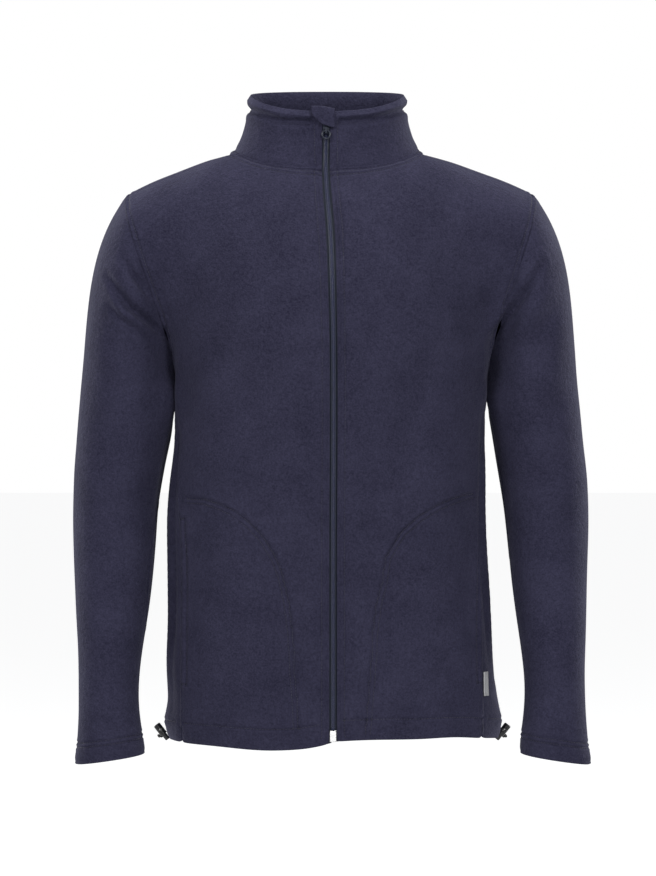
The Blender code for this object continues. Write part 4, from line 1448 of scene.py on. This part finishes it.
# Soft folds as they hang: lines over the middle plane seen from the front or back, or from a side.
FOLDS = (
    # Creases that run from the sleeve head into the underarm, wearer's right.
    Fold(((-0.2440, -0.1260), (-0.2324, -0.1445), (-0.2219, -0.1575), (-0.2100, -0.1760)),
         0.0055, 0.0034, Relief.TROUGH),
    Fold(((-0.2500, -0.1380), (-0.2390, -0.1560), (-0.2230, -0.1745), (-0.2060, -0.1900)), 0.0044, 0.0076),
    Fold(((-0.2620, -0.1480), (-0.2546, -0.1596), (-0.2336, -0.1852), (-0.2080, -0.2050),
          (-0.1890, -0.2215)), 0.0075, 0.0038, Relief.TROUGH),
    Fold(((-0.2600, -0.1720), (-0.2400, -0.1940), (-0.2180, -0.2100)), 0.0036, 0.0070),
    Fold(((-0.2600, -0.1830), (-0.2420, -0.2010), (-0.2278, -0.2120), (-0.2030, -0.2285)),
         0.0048, 0.0036, Relief.TROUGH),
    Fold(((-0.2660, -0.2180), (-0.2420, -0.2360), (-0.2180, -0.2560)), 0.0040, 0.0120, Relief.TROUGH),
    # The same on the wearer's left, where the front stands over the sleeve in one strong crease.
    Fold(((0.2490, -0.1330), (0.2301, -0.1631), (0.2090, -0.1910), (0.1920, -0.2140)),
         0.0062, 0.0038, Relief.TROUGH),
    Fold(((0.2360, -0.1360), (0.2180, -0.1640), (0.1960, -0.1930), (0.1790, -0.2160)), 0.0058, 0.0085),
    Fold(((0.2500, -0.1640), (0.2340, -0.1900), (0.2110, -0.2210)), 0.0040, 0.0085),
    Fold(((0.2700, -0.1840), (0.2500, -0.2140), (0.2260, -0.2520)), 0.0040, 0.0120, Relief.TROUGH),
    Fold(((0.292, -0.262), (0.262, -0.300), (0.236, -0.330)), 0.0030, 0.0160, Relief.TROUGH),
    # Upright folds where the back wraps round to the side seams.
    Fold(((-0.034, -0.300), (-0.036, -0.430), (-0.036, -0.540), (-0.036, -0.650)),
         0.0042, 0.0074, Relief.TROUGH, View.RIGHT),
    Fold(((-0.020, -0.320), (-0.021, -0.430), (-0.022, -0.540), (-0.022, -0.650)),
         0.0020, 0.0070, view=View.RIGHT),
    Fold(((-0.004, -0.300), (-0.006, -0.430), (-0.008, -0.540), (-0.010, -0.640)),
         0.0042, 0.0086, Relief.TROUGH, View.RIGHT),
    Fold(((-0.034, -0.300), (-0.036, -0.430), (-0.036, -0.530), (-0.036, -0.600)),
         0.0040, 0.0074, Relief.TROUGH, View.LEFT),
    Fold(((-0.018, -0.320), (-0.020, -0.430), (-0.020, -0.540), (-0.018, -0.620)),
         0.0020, 0.0070, view=View.LEFT),
    Fold(((-0.002, -0.310), (-0.004, -0.420), (-0.006, -0.520), (-0.008, -0.610)),
         0.0040, 0.0088, Relief.TROUGH, View.LEFT),
    # Fullness where sleeve and body rest against each other below the underarm.
    Fold(((-0.1845, -0.228), (-0.1845, -0.280), (-0.1850, -0.334)), 0.0050, 0.0150),
    Fold(((-0.1740, -0.228), (-0.1740, -0.280), (-0.1740, -0.334)), 0.0048, 0.0150),
    Fold(((0.1848, -0.224), (0.1848, -0.265), (0.1850, -0.312)), 0.0046, 0.0150),
    Fold(((0.1760, -0.224), (0.1760, -0.265), (0.1760, -0.312)), 0.0042, 0.0150),
    # Elbows and forearms.
    Fold(((-0.296, -0.300), (-0.272, -0.322), (-0.246, -0.330)), 0.0026, 0.0150, Relief.TROUGH),
    Fold(((-0.300, -0.372), (-0.268, -0.392), (-0.228, -0.392)), 0.0030, 0.0170),
    Fold(((0.300, -0.380), (0.268, -0.404), (0.232, -0.410)), 0.0030, 0.0170),
    Fold(((-0.292, -0.540), (-0.262, -0.556), (-0.232, -0.552)), 0.0020, 0.0170),
    Fold(((0.292, -0.575), (0.262, -0.592), (0.232, -0.586)), 0.0020, 0.0170),
    # Slack across the chest and the lower fronts.
    Fold(((-0.150, -0.215), (-0.120, -0.245), (-0.092, -0.290), (-0.080, -0.350)), 0.0026, 0.0220,
         Relief.TROUGH),
    Fold(((0.150, -0.220), (0.118, -0.262), (0.096, -0.320), (0.090, -0.390)), 0.0026, 0.0220,
         Relief.TROUGH),
    Fold(((-0.125, -0.330), (-0.112, -0.420), (-0.118, -0.520), (-0.130, -0.620)), 0.0024, 0.0260),
    Fold(((0.128, -0.330), (0.120, -0.430), (0.112, -0.540), (0.118, -0.640)), 0.0024, 0.0260),
    Fold(((-0.034, -0.600), (-0.025, -0.640), (-0.020, -0.672)), 0.0026, 0.0085, Relief.TROUGH),
    Fold(((0.072, -0.610), (0.066, -0.650), (0.070, -0.690)), 0.0022, 0.0140),
    # The back: slack under the shoulder blades and down to the waist.
    Fold(((-0.178, -0.170), (-0.130, -0.220), (-0.070, -0.262)), 0.0075, 0.0130, view=View.BACK),
    Fold(((0.180, -0.160), (0.138, -0.214), (0.078, -0.262)), 0.0070, 0.0130, view=View.BACK),
    Fold(((-0.160, -0.270), (-0.095, -0.335), (-0.020, -0.362)), 0.0055, 0.0150, Relief.TROUGH, View.BACK),
    Fold(((0.162, -0.300), (0.108, -0.362), (0.030, -0.392)), 0.0060, 0.0150, view=View.BACK),
    Fold(((-0.058, -0.400), (-0.050, -0.500), (-0.064, -0.610), (-0.060, -0.680)), 0.0060, 0.0170,
         view=View.BACK),
    Fold(((0.070, -0.430), (0.078, -0.540), (0.066, -0.640), (0.072, -0.685)), 0.0060, 0.0180,
         view=View.BACK),
    Fold(((0.008, -0.500), (0.004, -0.600), (0.010, -0.680)), 0.0050, 0.0140, Relief.TROUGH, View.BACK),
    Fold(((-0.120, -0.430), (-0.126, -0.540), (-0.118, -0.660)), 0.0048, 0.0150, Relief.TROUGH, View.BACK),
    # Sleeves from behind and outside.
    Fold(((-0.290, -0.330), (-0.262, -0.372), (-0.226, -0.384)), 0.0062, 0.0100, view=View.BACK),
    Fold(((0.290, -0.338), (0.260, -0.380), (0.226, -0.396)), 0.0062, 0.0100, view=View.BACK),
    Fold(((-0.288, -0.402), (-0.256, -0.434), (-0.222, -0.440)), 0.0050, 0.0100, Relief.TROUGH, View.BACK),
    Fold(((0.288, -0.410), (0.256, -0.440), (0.222, -0.450)), 0.0050, 0.0100, Relief.TROUGH, View.BACK),
    Fold(((0.248, -0.120), (0.228, -0.160), (0.205, -0.205)), 0.0050, 0.0046, Relief.TROUGH, View.BACK),
    Fold(((-0.248, -0.124), (-0.226, -0.166), (-0.205, -0.208)), 0.0050, 0.0046, Relief.TROUGH, View.BACK),
    Fold(((0.262, -0.160), (0.238, -0.200), (0.212, -0.236)), 0.0042, 0.0050, Relief.TROUGH, View.BACK),
    Fold(((-0.262, -0.166), (-0.236, -0.206), (-0.212, -0.240)), 0.0042, 0.0050, Relief.TROUGH, View.BACK),
)

# The collar: the hollow under its rolled top edge, and the rows of stitching beside the zip.
COLLAR_ROLL = (
    ((-0.0945, 0.0425), (-0.0775, 0.0373), (-0.0565, 0.0303), (-0.0278, 0.0298), (-0.0225, 0.0300)),
    ((0.0120, 0.0300), (0.0495, 0.0326), (0.0680, 0.0375), (0.0890, 0.0443)),
)
COLLAR_ROLL_BACK = ((-0.0700, 0.0450), (-0.0400, 0.0490), (0.0, 0.0505), (0.0400, 0.0495),
                    (0.0660, 0.0455))
COLLAR_STITCH = (
    ((-0.0190, 0.0270), (-0.0185, 0.0000), (-0.0180, -0.0225)),
    ((0.0085, 0.0300), (0.0080, 0.0000), (0.0078, -0.0230)),
)

# The pocket bags' curved stitching, from the side seam round and down to the hem.
POCKET_CURVES = {
    Side.RIGHT: ((-0.168, -0.4078), (-0.148, -0.4089), (-0.130, -0.4147), (-0.1113, -0.4229),
                 (-0.0926, -0.4380), (-0.0775, -0.4543), (-0.0658, -0.4730), (-0.0565, -0.4951),
                 (-0.0483, -0.5301), (-0.0437, -0.5697), (-0.0414, -0.6105), (-0.0383, -0.6501),
                 (-0.0373, -0.6780)),
    Side.LEFT: ((0.1660, -0.4019), (0.1450, -0.4077), (0.1240, -0.4159), (0.1031, -0.4287),
                (0.0821, -0.4474), (0.0722, -0.4631), (0.0635, -0.4788), (0.0600, -0.5056),
                (0.0536, -0.5301), (0.0495, -0.5604), (0.0472, -0.6000), (0.0437, -0.6408),
                (0.0414, -0.6711), (0.0402, -0.6850)),
}
# The underarm seam where it shows down the inside of each sleeve.
SLEEVE_SEAMS = {
    Side.RIGHT: ((-0.1980, -0.3980), (-0.2050, -0.4400), (-0.2110, -0.4800), (-0.2140, -0.5560),
                 (-0.2160, -0.6300)),
    Side.LEFT: ((0.1940, -0.3590), (0.2000, -0.3900), (0.2035, -0.4300), (0.2070, -0.4700),
                (0.2110, -0.5300), (0.2180, -0.6200)),
}


@dataclass(frozen=True)
class Cut:
    """A piece's flat cut: its width and length, its area, and how it is held."""

    flat: tuple[float, float]
    area: float
    hold: Hold


class Jacket:
    """The whole jacket: panels, threads, zip, label and hem cords."""

    def __init__(self, wardrobe: Wardrobe) -> None:
        """Note the finishes and read the jacket's form.

        Args:
            wardrobe: The finishes.
        """
        self.wardrobe = wardrobe
        self.zip = ZipDressing()
        self.zip.read_line()
        self.form = Form(["front_left", "front_right", "back", "sleeve_left", "sleeve_right"])
        self.still = Stillness(self.zip.line)
        self.panels: dict[str, Panel] = {}

    def declare(self, made: bpy.types.Object, node: str) -> None:
        """Args:
            made: The finished piece.
            node: The CAD node it stands for.
        """
        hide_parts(node)
        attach(made, "jacket")

    def front(self, side: Side) -> Panel:
        """Cut a front: zip edge, neckline, shoulder, armhole, hem and pocket stitching.

        Args:
            side: Wearer's side.

        Returns:
            The panel with its sewn lines.
        """
        s = side.value
        panel = Panel(f"front_{side.word}", 3, self.wardrobe.fleece)
        at = {name: panel.corner(place) for name, place in {
            "zip_hem": (s * 0.006, -0.112, -0.685),
            "zip_neck": (s * 0.004 - NECK_OFFSET, -0.085, -0.033),
            **{name: corner_place(name, side) for name in ("neck", "tip", "underarm", "side_hem")},
        }.items()}
        zip_middle, neck_middle = (0.0, -0.13, -0.35), (s * 0.06, -0.07, -0.03)
        self.seams(panel, [
            ("zip_hem", "zip_neck", zip_middle, SECOND_ROW, True),
            ("zip_hem", "zip_neck", zip_middle, EDGE_ROW, False),
            ("zip_neck", "neck", neck_middle, EDGE_ROW, True),
            ("zip_neck", "neck", neck_middle, SECOND_ROW, True),
            ("neck", "tip", (s * 0.174, -0.008, -0.03), SHOULDER_ROW, True),
            ("tip", "underarm", (s * 0.19, -0.05, -0.16), ARMHOLE_ROW, True),
            ("zip_hem", "side_hem", (s * 0.09, -0.11, -0.69), HEM_ROW, True),
        ], at)
        curve = panel.on_cloth(self.form.lay(list(POCKET_CURVES[side]), View.FRONT, 0.002))
        panel.groove(curve, Sewn.POCKET)
        inner = self.parallel(panel, curve, POCKET_ROWS_APART)
        panel.groove(inner, Sewn.POCKET_INNER)
        self.pocket_mouth(panel, at, side)
        return panel

    def pocket_mouth(self, panel: Panel, at: dict[str, Points], side: Side) -> None:
        """Stitch the pocket mouth beside the side seam, with a bar tack at each end.

        Args:
            panel: The front.
            at: Its corners.
            side: Wearer's side.
        """
        seam = panel.rim_between(at["side_hem"], (side.value * 0.17, -0.06, -0.5), at["underarm"])
        mouth = seam[(seam[:, 2] < MOUTH_TOP) & (seam[:, 2] > MOUTH_BOTTOM)]
        run = panel.beside(mouth, MOUTH_ROW)
        panel.groove(run, Sewn.MOUTH)
        for end in (0, -1):
            tack = np.stack([mouth[end], run[end]])
            panel.groove(panel.on_cloth(evenly(tack, 0.001)), Sewn.TACK)
            lower = tack + (0.0, 0.0, 0.0008)
            panel.groove(panel.on_cloth(evenly(lower, 0.001)), Sewn.TACK_FOOT)

    def seams(self, panel: Panel, rows: list[tuple], at: dict[str, Points]) -> None:
        """Press topstitching beside stretches of a panel's rim.

        Args:
            panel: The panel.
            rows: From corner, to corner, a place between, offset and whether thread shows.
            at: The corners by name.
        """
        for start, end, through, offset, thread in rows:
            rim = panel.rim_between(at[start], through, at[end])
            panel.groove(panel.beside(rim, offset), Sewn.SEAM, thread)

    @staticmethod
    def parallel(panel: Panel, line: Points, offset: float) -> Points:
        """A second row of stitching beside a first, on its lower side.

        Args:
            panel: The panel.
            line: The first row.
            offset: Distance between the rows.

        Returns:
            The second row.
        """
        dense = evenly(line, 0.0025)
        along = unit(np.gradient(dense, axis=0))
        _, normal = nearest(panel.tree, dense)
        beside = np.cross(normal, along)
        middle = len(dense) // 2
        centre = np.array((np.sign(dense[middle, 0]) * 0.13, -0.09, -0.60))
        if np.dot(beside[middle], centre - dense[middle]) < 0:
            beside = -beside
        return nearest(panel.tree, dense + offset * beside)[0]

    def back(self) -> Panel:
        """Cut the back: neckline, armholes and hem.

        Returns:
            The panel with its sewn lines.
        """
        panel = Panel("back", 3, self.wardrobe.fleece)
        at = {f"{name}_{side.word}": panel.corner(corner_place(name, side))
              for name in ("neck", "tip", "underarm", "side_hem") for side in Side}
        rows = [*[("neck_left", "neck_right", (0.0, 0.075, 0.012), row, True)
                  for row in (EDGE_ROW, SECOND_ROW)],
                ("side_hem_left", "side_hem_right", (0.0, 0.118, -0.69), HEM_ROW, True)]
        rows += [(f"tip_{side.word}", f"underarm_{side.word}", (side.value * 0.19, 0.06, -0.16),
                  ARMHOLE_ROW, True) for side in Side]
        self.seams(panel, rows, at)
        return panel

    def sleeve(self, side: Side, pins: list[Points]) -> Panel:
        """Cut a sleeve: cuff stitching and the underarm seam.

        Args:
            side: Wearer's side.
            pins: Where the body's seams meet its armhole.

        Returns:
            The panel with its sewn lines.
        """
        panel = Panel(f"sleeve_{side.word}", 3, self.wardrobe.fleece, pins)
        loop = panel.places[panel.rim_loop(np.array((side.value * 0.257, -0.08, -0.70)))]
        ring = np.concatenate([loop, loop[:1]])
        for offset in CUFF_ROWS:
            panel.groove(panel.beside(ring, offset), Sewn.CUFF)
        seam = panel.on_cloth(self.form.lay(list(SLEEVE_SEAMS[side]), View.FRONT, 0.003))
        panel.groove(seam, Sewn.SLEEVE, thread=False)
        return panel

    def collar(self, pins: list[Points]) -> Panel:
        """Cut the collar: the groove under its rolled edge and the stitching beside the zip.

        Args:
            pins: Where the shoulder seams meet it.

        Returns:
            The panel with its sewn lines.
        """
        panel = Panel("collar", 3, self.wardrobe.fleece, pins)
        band = Form(["collar"])
        right, left = (band.lay(list(marks), View.FRONT) for marks in COLLAR_ROLL)
        behind = band.lay(list(COLLAR_ROLL_BACK), View.BACK)
        roll = evenly(np.concatenate([right[::-1], behind, left[::-1]]), 0.002)
        panel.groove(panel.on_cloth(roll), Sewn.COLLAR_ROLL, thread=False)
        for marks in COLLAR_STITCH:
            panel.groove(panel.on_cloth(band.lay(list(marks), View.FRONT, 0.002)), Sewn.COLLAR)
        return panel

    def build(self) -> None:
        """Build every part of the jacket in order."""
        fronts = [self.front(side) for side in Side]
        back = self.back()
        necks = [back.corner(corner_place("neck", side)) for side in Side]
        sleeves = [self.sleeve(side, [back.corner(corner_place(name, side))
                                      for name in ("tip", "underarm")]) for side in Side]
        collar = self.collar(necks)
        plain = [Panel(f"pocket_bag_{side.word}", 2, self.wardrobe.inside) for side in Side]
        plain.append(Panel("chin_guard", 2, self.wardrobe.fleece))
        for panel in [*fronts, back, *sleeves, collar, *plain]:
            panel.drape(self.form, list(FOLDS), self.still, 0.0 if panel in plain else SEAM_ROLL)
            self.declare(panel.object, panel.node)
            self.sew(panel)
            log.info("%s: %d triangles", panel.node,
                     sum(len(p.vertices) - 2 for p in panel.object.data.polygons))
        self.dress_zip()
        self.dress_hardware()
        label = Panel("side_label", 2, self.wardrobe.label)
        self.declare(label.object, "side_label")
        for side, shift in ((Side.LEFT, 0.004), (Side.RIGHT, 0.0)):
            HemCord(side, shift).build(self.wardrobe.braid)

    def sew(self, panel: Panel) -> None:
        """Lay the threads of a finished panel into its grooves.

        Args:
            panel: The panel.
        """
        lines = [nearest(panel.tree, evenly(g.line, 0.0012)) for g in panel.grooves if g.thread]
        if not lines:
            return
        made = stitches(f"{panel.node}_threads", lines, self.wardrobe.thread)
        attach(made, "jacket")

    def dress_zip(self) -> None:
        """Lay the coils over the chain and finely divide the tapes."""
        coils = self.zip.coils(self.wardrobe.tooth, self.wardrobe.coil)
        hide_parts("zip_chain")
        for made in coils:
            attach(made, "jacket")
        for side in Side:
            tape = Panel(f"zip_tape_{side.word}", 2, self.wardrobe.tape)
            self.declare(tape.object, tape.node)
        log.info("zip: %d coil turns", int(len(self.zip.line) * 0.0005 / self.zip.pitch))

    def dress_hardware(self) -> None:
        """Give the carried-over hard pieces their finishes."""
        finishes = {"zip_slider": self.wardrobe.coil, "zip_pull": self.wardrobe.coil,
                    "zip_box": self.wardrobe.nickel}
        for side in Side:
            for piece in ("barrel", "plunger"):
                finishes[f"lock_{piece}_{side.word}"] = self.wardrobe.acetal
        for node, finish in finishes.items():
            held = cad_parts[node]
            held.data.materials.clear()
            held.data.materials.append(finish)
            log.info("%s finished", node)


def main() -> None:
    """Dress the frame and set the studio."""
    logging.basicConfig(level=logging.INFO, format="%(message)s")
    wardrobe = Wardrobe()
    Studio().build()
    Jacket(wardrobe).build()


if __name__ == "__main__":
    main()
